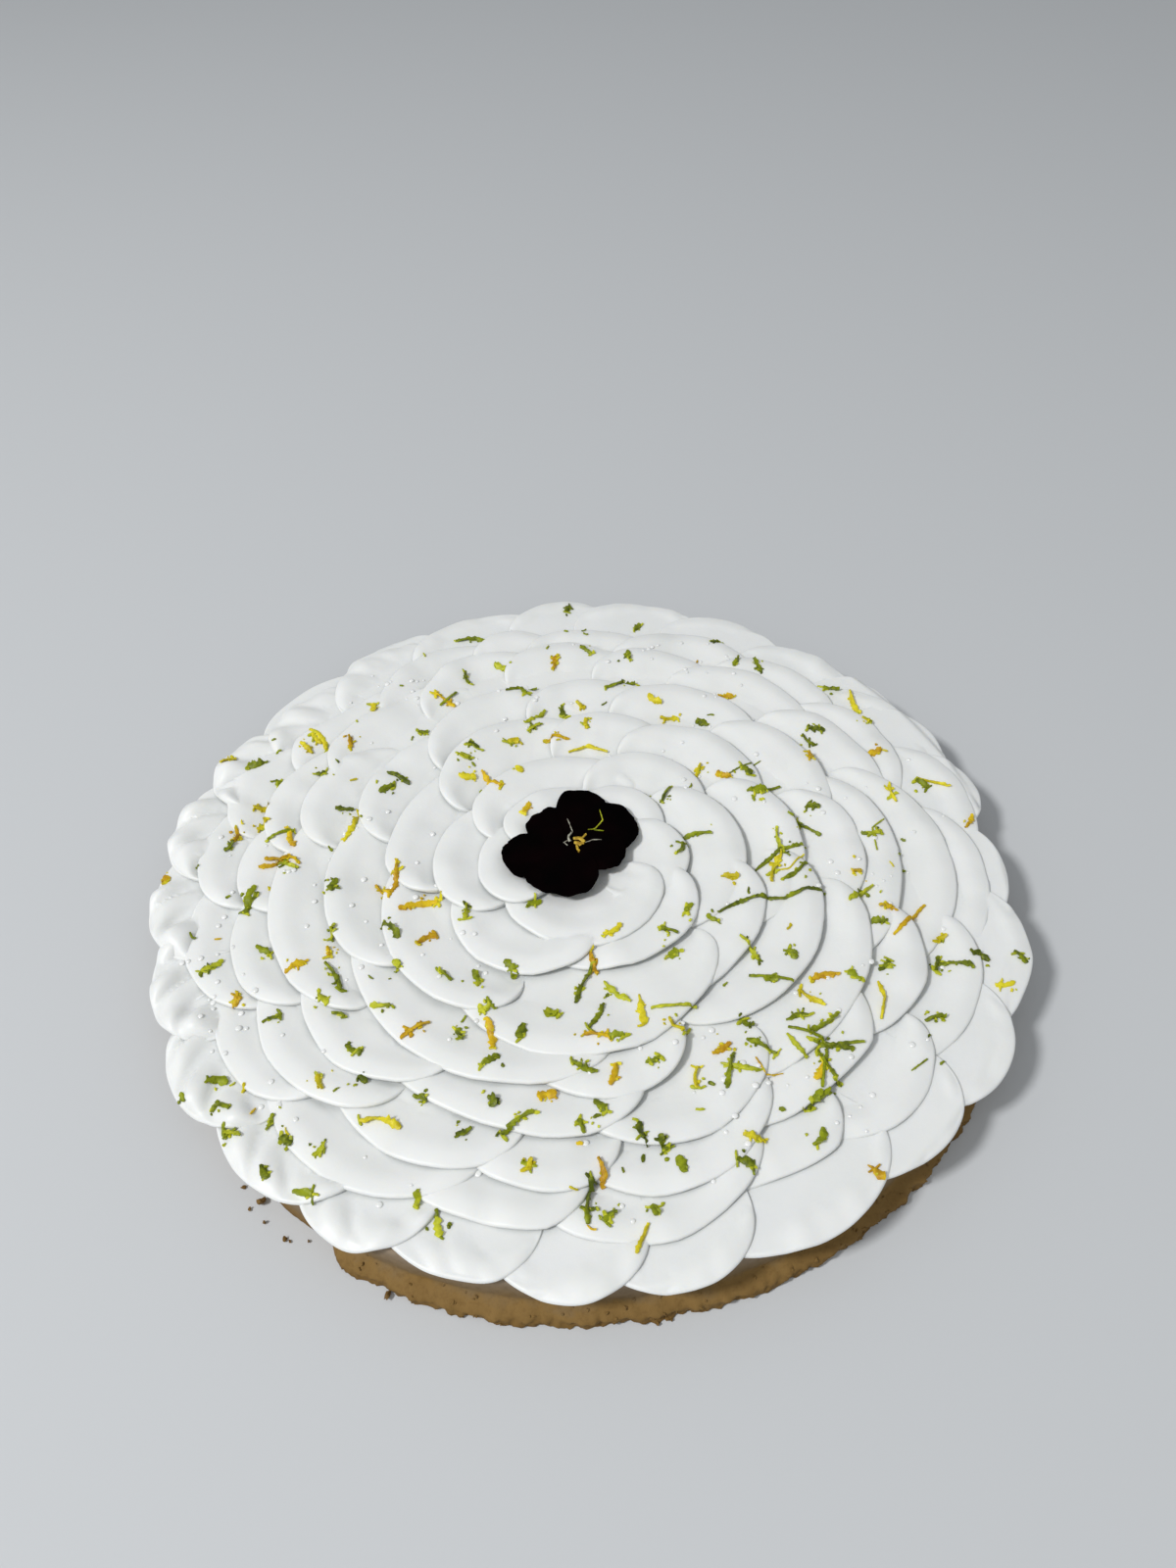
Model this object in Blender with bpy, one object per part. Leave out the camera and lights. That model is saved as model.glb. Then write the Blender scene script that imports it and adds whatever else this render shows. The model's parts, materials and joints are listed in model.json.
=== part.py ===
"""Round cream tart: a crumbly pastry shell under overlapping piped cream petals, with zest and one viola.

Metres, +Z up. The origin is the centre of the shell's flat underside, and -Y is the front.
Azimuths are in degrees, counter-clockwise from +X seen from above.
"""

import math
import random

import bmesh
import bpy
from mathutils import Matrix, Vector
from mathutils.bvhtree import BVHTree
from mathutils.geometry import intersect_point_line

MM = 0.001
GAP = 0.3 * MM
SEED = 24

# Pastry shell
CRUST_RADIUS = 117.5 * MM
CRUST_HEIGHT = 15.5 * MM
CRUST_RIM_ROUND = 1.8 * MM
CRUST_SIDES = 96
FOOT_HEIGHT = 5.5 * MM
FOOT_FLARE = 4.2 * MM
FOOT_KNEE = 0.45
FOOT_KNEE_FLARE = 0.85
FOOT_TOP_FLARE = 0.1
FOOT_CRAG = 1.6 * MM
WALL_CRAG = 0.5 * MM
# The foot has crumbled away between these azimuths
FOOT_BROKEN = (172.0, 243.0)
FOOT_BREAK = 4.0
CRAG_WAVES = (7, 13, 29, 41)
CRAG_PHASE = 1.7
CRAG_LEVEL_PHASE = 0.9

# Cream dome, measured at the petals' lips
DOME_RADIUS = 122.7 * MM
DOME_RIM = 16.6 * MM
DOME_TOP = 25.2 * MM
CORE_RADIUS = 113.0 * MM
CORE_DROP = 2.6 * MM
CORE_SIDES = 48
CORE_RINGS = (1.0, 0.9, 0.75, 0.55, 0.3)
CORE_BOTTOM = 14.0 * MM
# Over the shell's rim the cream is at least this high, on average across a petal
SURFACE_FLOOR = CRUST_HEIGHT + 1.3 * MM
FLOOR_TILT = 0.3 * MM
# Outside the shell's wall it falls off again
RIM_LAND = 1.5 * MM
RIM_SLOPE = 6.0 * MM
RIM_FALL = 5.0 * MM

# One petal of cream: a sheet that is thin at its lip and thickens inwards
LIP = 1.2 * MM
BODY = 6.5 * MM
BODY_DEPTH = 7.0 * MM
# Its outline is an arch of two quarter ellipses that meet at the peak. The peak stands off the petal's middle
# by a share of half its width, and the feet reach over the next petal and under the one before.
CURL_DEPTH = 17.0 * MM
CURL_LIMIT = 0.55
PEAK = 0.25
OVER_SHARE = 0.25
OVER_LEAST = 3.0 * MM
UNDER_SHARE = 0.2
UNDER_LEAST = 2.0 * MM
SHEET_DEPTH = 34.0 * MM
SHEET_TAPER = 0.85
SHEET_ROOT = 0.12
SHEET_LEAST = 2.0 * MM
HOLLOW = 1.1 * MM
HOLLOW_DEPTH = 9.0 * MM
SINK_START = 12.0 * MM
SINK_SLOPE = 0.2
TILT = 0.6 * MM
TILT_LIMIT = 1.3
PETAL_COLUMNS = 9
TOP_DEPTHS = (0.0, 0.1, 0.36, 1.0)
BOTTOM_DEPTHS = (0.0, 0.16, 1.0)
# Neighbouring faces within this angle become one, except this close to where that would pinch the surface
FLAT_ENOUGH = 4.0
PINCH_REACH = 0.5 * MM
PINCH_ATTEMPTS = 5

# Soft folds across the outer petals, strongest on the left
FOLD_HEIGHT = 1.1 * MM
FOLD_AZIMUTH = 190.0
FOLD_SPREAD = 50.0
FOLD_COUNT = 0.6
FOLD_PHASE = 0.35
FOLD_DEPTH = 12.0 * MM

# Rows of petals from the rim inwards. A pair is the azimuth where a petal starts and its reach in
# millimetres from the axis. The petal ends where the next one starts, and a reach of 0 leaves a stretch bare.
ROWS = (
    ((116, 123), (130, 0), (132, 121), (149, 0), (350, 121), (364, 0), (369, 124), (379, 124), (391, 123), (401, 0)),
    ((2, 119), (20, 121), (37, 120), (54, 122), (70, 123), (86, 124), (99, 121), (117, 119), (134, 117),
     (149, 121), (162, 123), (177, 122), (192, 121), (206, 123), (221, 122), (236, 122), (248, 120),
     (261, 122), (274, 122), (287, 122), (306, 122), (320, 125), (334, 125), (350, 0)),
    ((18, 108), (37, 108), (56, 109), (77, 104), (96, 108), (108, 108), (129, 101), (150, 113), (167, 111),
     (183, 111), (203, 109), (222, 111), (248, 107), (266, 111), (290, 106), (305, 112), (323, 113),
     (343, 115), (365, 0)),
    ((-16, 106), (15, 98), (38, 98), (62, 95), (81, 97), (101, 99), (122, 93), (148, 97), (170, 98),
     (186, 99), (206, 100), (231, 99), (254, 98), (271, 101), (296, 95), (321, 99), (342, 0)),
    ((-20, 91), (14, 0), (146, 87), (168, 88), (209, 89), (236, 85), (272, 90), (300, 86), (341, 0)),
    ((-14, 81), (13, 81), (42, 81), (72, 76), (98, 76), (130, 71), (163, 72), (205, 75), (262, 76),
     (287, 0), (303, 71), (348, 0)),
    ((-20, 64), (21, 64), (62, 59), (92, 60), (139, 55), (184, 60), (236, 65), (302, 56), (344, 0)),
    ((-36, 47), (26, 46), (73, 39), (147, 41), (203, 45), (262, 41), (328, 0)),
    ((-45, 31), (17, 29), (75, 26), (150, 29), (215, 33), (315, 0)),
)
OUTER_ROW_DROP = 1.2 * MM

# Zest strips: bunches, given by azimuth, radius in millimetres and number, then an even sprinkling
ZEST_BUNCHES = ((183, 90, 6), (147, 89, 3), (203, 55, 3), (232, 69, 1), (153, 60, 2), (280, 47, 4), (272, 57, 3),
                (297, 79, 3), (315, 86, 4), (357, 58, 3), (226, 32, 1), (325, 78, 2))
BUNCH_SPREAD = 4.5 * MM
ZEST_SPRINKLED = 30
SPRINKLE_JITTER = 0.2
ZEST_INNER = 31.0 * MM
ZEST_OUTER = 112.0 * MM
ZEST_LENGTH = (4.5 * MM, 11.0 * MM)
ZEST_WIDTH = (1.3 * MM, 2.1 * MM)
ZEST_THICKNESS = 1.3 * MM
ZEST_SUNK = 0.5 * MM
ZEST_BEND = 0.9
ZEST_STATIONS = 4
ZEST_TIP = 0.55
# The one long strand, by azimuth and radius in millimetres
STRAND = ((330, 43), (336, 47), (341, 52), (343, 58), (347, 63), (348, 69))
STRAND_WIDTH = 1.5 * MM

# Viola
VIOLA_CENTRE = (-2.4 * MM, 1.4 * MM)
VIOLA_LIFT = 25.6 * MM
VIOLA_THICKNESS = 0.8 * MM
VIOLA_SPOKES = 40
VIOLA_RINGS = (0.35, 0.7, 1.0)
VIOLA_CUP = 0.6 * MM
VIOLA_WAVE = 0.7 * MM
VIOLA_WAVES = 7
VIOLA_TWIST = 2.0
VIOLA_NECK = 13.6 * MM
LOBE_BLUNT = 2.6
LOBE_ROUND = 0.55
# Azimuth, half angle and reach of each lobe of the flower's outline, the big upper petal having two
VIOLA_LOBES = (
    (30.0, 36.0, 19.3 * MM),
    (80.0, 27.0, 20.2 * MM),
    (128.0, 32.0, 15.3 * MM),
    (196.0, 36.0, 19.6 * MM),
    (263.0, 42.0, 19.8 * MM),
    (336.0, 30.0, 16.8 * MM),
)


def clear_scene():
    for obj in list(bpy.data.objects):
        bpy.data.objects.remove(obj, do_unlink=True)


def make_material(name, color, roughness):
    material = bpy.data.materials.new(name)
    material.use_nodes = True
    shader = material.node_tree.nodes["Principled BSDF"]
    shader.inputs["Base Color"].default_value = (*color, 1.0)
    shader.inputs["Roughness"].default_value = roughness
    shader.inputs["Metallic"].default_value = 0.0
    return material


def add_object(name, bm, collection=None):
    bmesh.ops.recalc_face_normals(bm, faces=bm.faces)
    mesh = bpy.data.meshes.new(name)
    bm.to_mesh(mesh)
    bm.free()
    obj = bpy.data.objects.new(name, mesh)
    (collection or bpy.context.scene.collection).objects.link(obj)
    return obj


def finish(obj, material, sharp_degrees):
    obj.data.materials.clear()
    obj.data.materials.append(material)
    obj.data.shade_smooth()
    obj.data.set_sharp_from_angle(angle=math.radians(sharp_degrees))


def smoothstep(t):
    t = min(max(t, 0.0), 1.0)
    return t * t * (3.0 - 2.0 * t)


def polar(radius, azimuth, z):
    """A point from its radius, azimuth in degrees and height."""
    angle = math.radians(azimuth)
    return (radius * math.cos(angle), radius * math.sin(angle), z)


def grid_faces(bm, columns, closed_rows):
    """Skins neighbouring columns of vertices, and closes the columns on themselves where asked."""
    for left, right in zip(columns, columns[1:]):
        count = len(left)
        for j in range(count if closed_rows else count - 1):
            k = (j + 1) % count
            bm.faces.new((left[j], left[k], right[k]))
            bm.faces.new((left[j], right[k], right[j]))


def dome(radius):
    """Height of the petals' lips over the dome."""
    return DOME_RIM + (DOME_TOP - DOME_RIM) * (1.0 - (radius / DOME_RADIUS) ** 2)


def wall_noise(azimuth, phase):
    """A repeatable crag between -1 and 1 round the shell."""
    angle = math.radians(azimuth)
    waves = [math.sin(count * angle + phase + CRAG_PHASE * count) for count in CRAG_WAVES]
    return sum(waves) / len(waves)


def foot_share(azimuth):
    """How much of the shell's foot is left at an azimuth."""
    first, last = FOOT_BROKEN
    inside = min(azimuth - first, last - azimuth)
    return 1.0 - smoothstep(inside / FOOT_BREAK)


def build_shell():
    """The pastry shell with what it holds, turned round its axis, with a ragged foot. Crags only go inwards."""
    bm = bmesh.new()
    profile = (
        (0.0, 1.0, FOOT_CRAG),
        (FOOT_KNEE * FOOT_HEIGHT, FOOT_KNEE_FLARE, FOOT_CRAG),
        (FOOT_HEIGHT, FOOT_TOP_FLARE, WALL_CRAG),
        (CRUST_HEIGHT - CRUST_RIM_ROUND, 0.0, WALL_CRAG),
        (CRUST_HEIGHT, -CRUST_RIM_ROUND / FOOT_FLARE, WALL_CRAG),
    )
    columns = []
    for side in range(CRUST_SIDES):
        azimuth = 360.0 * side / CRUST_SIDES
        foot = foot_share(azimuth)
        column = []
        for level, (height, flare, crag) in enumerate(profile):
            flare *= foot if flare > 0.0 else 1.0
            noise = 0.5 + 0.5 * wall_noise(azimuth, CRAG_LEVEL_PHASE * level)
            radius = CRUST_RADIUS + flare * FOOT_FLARE - crag * noise
            column.append(bm.verts.new(polar(radius, azimuth, height)))
        columns.append(column)
    grid_faces(bm, columns + columns[:1], closed_rows=False)
    for level, height in ((0, 0.0), (-1, CRUST_HEIGHT)):
        centre = bm.verts.new((0.0, 0.0, height))
        for left, right in zip(columns, columns[1:] + columns[:1]):
            bm.faces.new((left[level], right[level], centre))
    return add_object("crust", bm)


def build_room():
    """The space that the cream leaves for the shell, up to a gap above its rim and round its wall."""
    bm = bmesh.new()
    height = CRUST_HEIGHT + GAP
    matrix = Matrix.Translation((0.0, 0.0, 0.5 * height))
    radius = CRUST_RADIUS + GAP
    bmesh.ops.create_cone(
        bm, cap_ends=True, segments=CRUST_SIDES, radius1=radius, radius2=radius, depth=height, matrix=matrix
    )
    return add_object("room", bm)


def build_core():
    """The body of cream below the petals."""
    bm = bmesh.new()
    radii = [CORE_RADIUS * share for share in CORE_RINGS]
    columns = []
    for side in range(CORE_SIDES):
        azimuth = 360.0 * side / CORE_SIDES
        column = [bm.verts.new(polar(CORE_RADIUS, azimuth, CORE_BOTTOM))]
        column += [bm.verts.new(polar(radius, azimuth, dome(radius) - CORE_DROP)) for radius in radii]
        columns.append(column)
    grid_faces(bm, columns + columns[:1], closed_rows=False)
    for level, height in ((0, CORE_BOTTOM), (-1, dome(0.0) - CORE_DROP)):
        centre = bm.verts.new((0.0, 0.0, height))
        for left, right in zip(columns, columns[1:] + columns[:1]):
            bm.faces.new((left[level], right[level], centre))
    return add_object("cream", bm)


def row_petals(row):
    """Start, end, reach and the reach at both seams of each petal in a row."""
    petals = []
    last = len(row) - 1
    for i, (start, reach) in enumerate(row[:-1]):
        if reach == 0:
            continue
        end = row[i + 1][0]
        before = row[i - 1][1] if i > 0 else 0
        after = row[i + 1][1] if i + 1 < last else 0
        seam_low = 0.5 * (reach + (before or reach))
        seam_high = 0.5 * (reach + (after or reach))
        petals.append((start, end, reach * MM, seam_low * MM, seam_high * MM))
    return petals


def fold(azimuth, across, depth):
    """Height of the soft folds that run in from an outer petal's lip."""
    away = (azimuth - FOLD_AZIMUTH + 180.0) % 360.0 - 180.0
    strength = math.exp(-(away / FOLD_SPREAD) ** 2)
    wave = math.sin(2.0 * math.pi * FOLD_COUNT * across + FOLD_PHASE * azimuth)
    return FOLD_HEIGHT * strength * wave * math.exp(-depth / FOLD_DEPTH)


def build_petal(petal, drop, is_outer, collection):
    """One closed sheet of cream, its lip outwards, its higher side curling over the next petal."""
    start, end, reach, seam_low, seam_high = petal
    middle = 0.5 * (start + end)
    width = math.radians(end - start) * reach
    low_side = -(0.5 + UNDER_SHARE) * width - UNDER_LEAST
    high_side = (0.5 + OVER_SHARE) * width + OVER_LEAST
    peak = 0.5 * PEAK * width
    base_radius = max(reach - SHEET_DEPTH, SHEET_ROOT * reach)
    curl_depth = min(CURL_DEPTH, CURL_LIMIT * reach)
    overhang = max(reach - CRUST_RADIUS, 0.0)
    bm = bmesh.new()
    columns = []
    for index in range(PETAL_COLUMNS):
        station = math.sin(0.5 * math.pi * (2.0 * index / (PETAL_COLUMNS - 1) - 1.0))
        arc = low_side + (high_side - low_side) * 0.5 * (station + 1.0)
        across = 2.0 * arc / width
        azimuth = middle + math.degrees(arc / reach)
        line = reach + (0.5 * (seam_high - seam_low)) * across
        line += (0.5 * (seam_high + seam_low) - reach) * min(across * across, 1.0)
        off_peak = (arc - peak) / ((high_side if arc > peak else low_side) - peak)
        edge = line - curl_depth * (1.0 - math.sqrt(max(1.0 - off_peak ** 2, 0.0)))
        edge = max(edge, base_radius + SHEET_LEAST)
        lip_height = dome(line) - drop + TILT * min(max(across, -TILT_LIMIT), TILT_LIMIT)
        section = []
        shares = [(share, True) for share in reversed(TOP_DEPTHS)] + [(share, False) for share in BOTTOM_DEPTHS]
        for share, is_top in shares:
            depth = (edge - base_radius) * share
            radius = edge - depth
            turn = middle + (azimuth - middle) * (1.0 - (1.0 - SHEET_TAPER) * share)
            below_lip = line - radius
            height = lip_height - HOLLOW * smoothstep(below_lip / HOLLOW_DEPTH)
            height -= SINK_SLOPE * max(below_lip - SINK_START, 0.0)
            if is_outer:
                height += fold(azimuth, across, depth)
            fall = RIM_FALL * smoothstep((radius - CRUST_RADIUS - RIM_LAND) / RIM_SLOPE)
            height = max(height, SURFACE_FLOOR + FLOOR_TILT * across - fall)
            if not is_top:
                height -= LIP + (BODY - LIP) * smoothstep((depth - overhang) / BODY_DEPTH)
            section.append(bm.verts.new(polar(radius, turn, height)))
        columns.append(section)
    grid_faces(bm, columns, closed_rows=True)
    bm.faces.new(columns[0])
    bm.faces.new(columns[-1])
    bmesh.ops.triangulate(bm, faces=[f for f in bm.faces if len(f.verts) > 3])
    return add_object("petal", bm, collection)


def surface_tree(objects):
    """The tops of several meshes as one tree to drop things on."""
    points = []
    faces = []
    for obj in objects:
        offset = len(points)
        points.extend(v.co.copy() for v in obj.data.vertices)
        faces.extend([offset + i for i in p.vertices] for p in obj.data.polygons)
    return BVHTree.FromPolygons(points, faces)


def height_on(tree, x, y):
    hit = tree.ray_cast(Vector((x, y, 1.0)), Vector((0.0, 0.0, -1.0)))
    return hit[0].z


def build_strip(path, width, tree, collection):
    """A strip of zest along a path, lying on the cream and sunk a little into it."""
    bm = bmesh.new()
    columns = []
    last = len(path) - 1
    for i, (x, y) in enumerate(path):
        ahead = Vector(path[min(i + 1, last)]) - Vector(path[max(i - 1, 0)])
        half = 0.5 * width * (ZEST_TIP if i in (0, last) else 1.0)
        side = Vector((-ahead.y, ahead.x, 0.0)).normalized() * half
        ground = height_on(tree, x, y)
        low = Vector((x, y, ground - ZEST_SUNK))
        high = Vector((x, y, ground + ZEST_THICKNESS - ZEST_SUNK))
        columns.append([bm.verts.new(point) for point in (high - side, high + side, low + side, low - side)])
    grid_faces(bm, columns, closed_rows=True)
    bm.faces.new(columns[0])
    bm.faces.new(columns[-1])
    return add_object("zest", bm, collection)


def zest_places(rng):
    """Where the strips lie, from above."""
    places = []
    for azimuth, radius, number in ZEST_BUNCHES:
        x, y, _ = polar(radius * MM, azimuth, 0.0)
        for _ in range(number):
            places.append((x + rng.gauss(0.0, BUNCH_SPREAD), y + rng.gauss(0.0, BUNCH_SPREAD)))
    golden = math.pi * (3.0 - math.sqrt(5.0))
    for index in range(ZEST_SPRINKLED):
        share = (index + 0.5) / ZEST_SPRINKLED
        radius = math.sqrt(ZEST_INNER ** 2 + share * (ZEST_OUTER ** 2 - ZEST_INNER ** 2))
        angle = golden * index + rng.uniform(-SPRINKLE_JITTER, SPRINKLE_JITTER)
        places.append((radius * math.cos(angle), radius * math.sin(angle)))
    return places


def zest_path(place, rng):
    """A bent path that is centred on its place."""
    heading = rng.uniform(0.0, math.pi)
    step = rng.uniform(*ZEST_LENGTH) / (ZEST_STATIONS - 1)
    bend = rng.uniform(-ZEST_BEND, ZEST_BEND)
    x, y = place
    x -= 0.5 * step * (ZEST_STATIONS - 1) * math.cos(heading + 0.5 * bend)
    y -= 0.5 * step * (ZEST_STATIONS - 1) * math.sin(heading + 0.5 * bend)
    path = [(x, y)]
    for _ in range(ZEST_STATIONS - 1):
        x += step * math.cos(heading)
        y += step * math.sin(heading)
        heading += bend / (ZEST_STATIONS - 1)
        path.append((x, y))
    return path


def add_zest(tree, collection):
    """All the strips that are large enough to be solids."""
    rng = random.Random(SEED)
    for place in zest_places(rng):
        build_strip(zest_path(place, rng), rng.uniform(*ZEST_WIDTH), tree, collection)
    strand = [polar(radius * MM, azimuth, 0.0)[:2] for azimuth, radius in STRAND]
    build_strip(strand, STRAND_WIDTH, tree, collection)


def largest_shell(bm):
    """The vertices of the largest connected piece."""
    unseen = set(bm.verts)
    shells = []
    while unseen:
        stack = [unseen.pop()]
        shell = set(stack)
        while stack:
            vert = stack.pop()
            for edge in vert.link_edges:
                other = edge.other_vert(vert)
                if other in unseen:
                    unseen.remove(other)
                    shell.add(other)
                    stack.append(other)
        shells.append(shell)
    return max(shells, key=len)


def is_near(point, pinch):
    """Whether a point lies close to the stretch between a pinch's two ends."""
    start, end = pinch
    share = intersect_point_line(point, start, end)[1]
    return (start.lerp(end, min(max(share, 0.0), 1.0)) - point).length < PINCH_REACH


def clean_shell(mesh):
    """Drops loose scraps and sealed hollows, and makes one face of neighbours that are nearly flat.

    Where that pinches the surface, so that four faces share an edge, the next attempt leaves the faces as they were.
    """
    pinches = []
    for _ in range(PINCH_ATTEMPTS):
        bm = bmesh.new()
        bm.from_mesh(mesh)
        largest = largest_shell(bm)
        bmesh.ops.delete(bm, geom=[v for v in bm.verts if v not in largest], context="VERTS")
        held = {v for v in bm.verts if any(is_near(v.co, pinch) for pinch in pinches)}
        held |= {v for other in held for face in other.link_faces for v in face.verts}
        verts = [v for v in bm.verts if v not in held]
        edges = [e for e in bm.edges if held.isdisjoint(e.verts)]
        bmesh.ops.dissolve_limit(bm, angle_limit=math.radians(FLAT_ENOUGH), verts=verts, edges=edges)
        bmesh.ops.triangulate(bm, faces=bm.faces)
        found = [(e.verts[0].co.copy(), e.verts[1].co.copy()) for e in bm.edges if len(e.link_faces) != 2]
        if not found:
            bm.to_mesh(mesh)
        bm.free()
        if not found:
            return
        pinches.extend(found)
    raise RuntimeError("the fused cream pinches itself")


def fuse(obj, collection, cutter):
    """Joins a collection's objects to an object with one union, makes room for what it lies on, and tidies up."""
    union = obj.modifiers.new("Fuse", "BOOLEAN")
    union.operation = "UNION"
    union.operand_type = "COLLECTION"
    union.collection = collection
    union.solver = "MANIFOLD"
    cut = obj.modifiers.new("Room for the shell", "BOOLEAN")
    cut.operation = "DIFFERENCE"
    cut.object = cutter
    cut.solver = "MANIFOLD"
    evaluated = obj.evaluated_get(bpy.context.evaluated_depsgraph_get())
    fused = bpy.data.meshes.new_from_object(evaluated)
    obj.modifiers.clear()
    obj.data = fused
    for other in list(collection.objects) + [cutter]:
        bpy.data.objects.remove(other, do_unlink=True)
    bpy.data.collections.remove(collection)
    clean_shell(obj.data)


def build_cream():
    """Core, petals and zest as one body."""
    core = build_core()
    pieces = bpy.data.collections.new("pieces")
    bpy.context.scene.collection.children.link(pieces)
    petals = []
    for row_index, row in enumerate(ROWS):
        drop = OUTER_ROW_DROP if row_index == 0 else 0.0
        for petal in row_petals(row):
            petals.append(build_petal(petal, drop, row_index < 2, pieces))
    add_zest(surface_tree(petals + [core]), pieces)
    fuse(core, pieces, build_room())
    return core


def lobe_reach(azimuth):
    """How far the flower reaches at an azimuth."""
    reach = VIOLA_NECK
    for middle, half, tip in VIOLA_LOBES:
        away = abs((azimuth - middle + 180.0) % 360.0 - 180.0) / half
        if away < 1.0:
            reach = max(reach, VIOLA_NECK + (tip - VIOLA_NECK) * (1.0 - away ** LOBE_BLUNT) ** LOBE_ROUND)
    return reach


def build_viola():
    """The flower as one thin wavy leaf, with both faces split alike."""
    bm = bmesh.new()
    centre_x, centre_y = VIOLA_CENTRE
    middle = [bm.verts.new((centre_x, centre_y, VIOLA_LIFT + h)) for h in (VIOLA_THICKNESS, 0.0)]
    spokes = []
    for spoke in range(VIOLA_SPOKES):
        azimuth = 360.0 * spoke / VIOLA_SPOKES
        reach = lobe_reach(azimuth)
        top = []
        bottom = []
        for share in VIOLA_RINGS:
            x, y, _ = polar(reach * share, azimuth, 0.0)
            ripple = math.sin(math.radians(VIOLA_WAVES * azimuth) + VIOLA_TWIST * share)
            wave = VIOLA_WAVE * share * (0.5 + 0.5 * ripple)
            base = VIOLA_LIFT + VIOLA_CUP * share ** 2 + wave
            top.append(bm.verts.new((centre_x + x, centre_y + y, base + VIOLA_THICKNESS)))
            bottom.append(bm.verts.new((centre_x + x, centre_y + y, base)))
        spokes.append((top, bottom))
    for left, right in zip(spokes, spokes[1:] + spokes[:1]):
        for face in (0, 1):
            bm.faces.new((middle[face], left[face][0], right[face][0]))
            grid_faces(bm, (left[face], right[face]), closed_rows=False)
        bm.faces.new((left[0][-1], right[0][-1], right[1][-1]))
        bm.faces.new((left[0][-1], right[1][-1], left[1][-1]))
    return add_object("viola", bm)


def main():
    clear_scene()
    finish(build_shell(), make_material("pastry", (0.42, 0.24, 0.10), 0.85), 40.0)
    finish(build_cream(), make_material("cream", (0.86, 0.86, 0.84), 0.45), 35.0)
    finish(build_viola(), make_material("flower", (0.012, 0.003, 0.006), 0.6), 40.0)


main()
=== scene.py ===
"""Looks of the round cream tart: fine cream petals, coloured zest, a velvety viola, a crumbly shell."""

import json
import math
import random

import bmesh
import bpy
from mathutils import Euler, Matrix, Vector, noise
from mathutils.bvhtree import BVHTree

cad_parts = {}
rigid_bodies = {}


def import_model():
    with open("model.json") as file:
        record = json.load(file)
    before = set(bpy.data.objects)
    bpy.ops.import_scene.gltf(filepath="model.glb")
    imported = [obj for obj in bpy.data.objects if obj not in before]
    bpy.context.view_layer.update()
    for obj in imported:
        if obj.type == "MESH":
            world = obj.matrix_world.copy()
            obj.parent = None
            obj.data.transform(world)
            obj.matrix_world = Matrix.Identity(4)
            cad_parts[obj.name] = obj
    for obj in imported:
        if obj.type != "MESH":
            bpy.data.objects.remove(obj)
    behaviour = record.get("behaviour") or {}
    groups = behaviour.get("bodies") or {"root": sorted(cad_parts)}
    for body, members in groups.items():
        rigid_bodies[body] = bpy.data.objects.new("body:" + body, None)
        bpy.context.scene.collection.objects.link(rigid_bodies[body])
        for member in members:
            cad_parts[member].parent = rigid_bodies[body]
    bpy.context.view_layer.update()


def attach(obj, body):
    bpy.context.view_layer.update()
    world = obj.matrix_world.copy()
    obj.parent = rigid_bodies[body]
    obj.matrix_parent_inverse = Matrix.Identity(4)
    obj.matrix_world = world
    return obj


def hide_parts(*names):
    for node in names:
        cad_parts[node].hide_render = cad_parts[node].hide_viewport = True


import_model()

MM = 0.001
GAP = 0.3 * MM
SEED = 24

# The photograph, in pixels, and the camera that it was solved for
PHOTO_WIDTH = 1200.0
PHOTO_HEIGHT = 1600.0
CAMERA_PLACE = Vector((0.00798, -0.21762, 0.28085))
CAMERA_TURN = Euler([math.radians(angle) for angle in (43.46, 1.31, -0.06)])
CAMERA_LENS = 27.38
CAMERA_SENSOR = 36.0

# Light and floor
FLOOR_SIZE = 3.0
FLOOR_DROP = 0.2 * MM
FLOOR_COLOR = (0.60, 0.615, 0.63)
KEY_PLACE = (-1.11, -0.70, 1.65)
KEY_SIZE = 0.32
KEY_POWER = 28.0
FILL_PLACE = (0.1, -0.8, 1.3)
FILL_SIZE = 1.8
FILL_POWER = 3.0
SKY_COLOR = (0.93, 0.97, 1.0)
SKY_STRENGTH = 0.34

# Pastry shell, as in the solids
CRUST_RADIUS = 117.5 * MM
CRUST_HEIGHT = 15.5 * MM
CRUST_RIM_ROUND = 1.8 * MM
FOOT_HEIGHT = 5.5 * MM
FOOT_FLARE = 4.2 * MM
FOOT_BROKEN = (172.0, 243.0)
FOOT_BREAK = 4.0

# Finer form of the shell
SHELL_SIDES = 1200
SHELL_LEVELS = 30
LEVEL_SPACING = 1.3
LEDGE_HEIGHT = 2.4 * MM
FOOT_INSET = 0.7 * MM
FOOT_CRAGS = 1.1 * MM
FOOT_CRAG_SIZE = 7.0 * MM
FOOT_BITES = 0.7 * MM
FOOT_BITE_SIZE = 1.9 * MM
WALL_WAVES = 0.25 * MM
WALL_GRAIN = 0.12 * MM
CRAG_DIMENSION = 1.0
CRAG_LACUNARITY = 2.0
CRAG_OCTAVES = 3
GRAINS = 380
GRAIN_SIZE = (0.25 * MM, 0.5 * MM)
GRAIN_ROUGH = 0.8

# Rough lumps, such as grains and crumbs: their form, and how high they stand as a share of their size
LUMP_LENGTH = 1.25
LUMP_FLATNESS = 0.7
LUMP_BUMPS = 1.3
LUMP_STAND = 0.4

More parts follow.
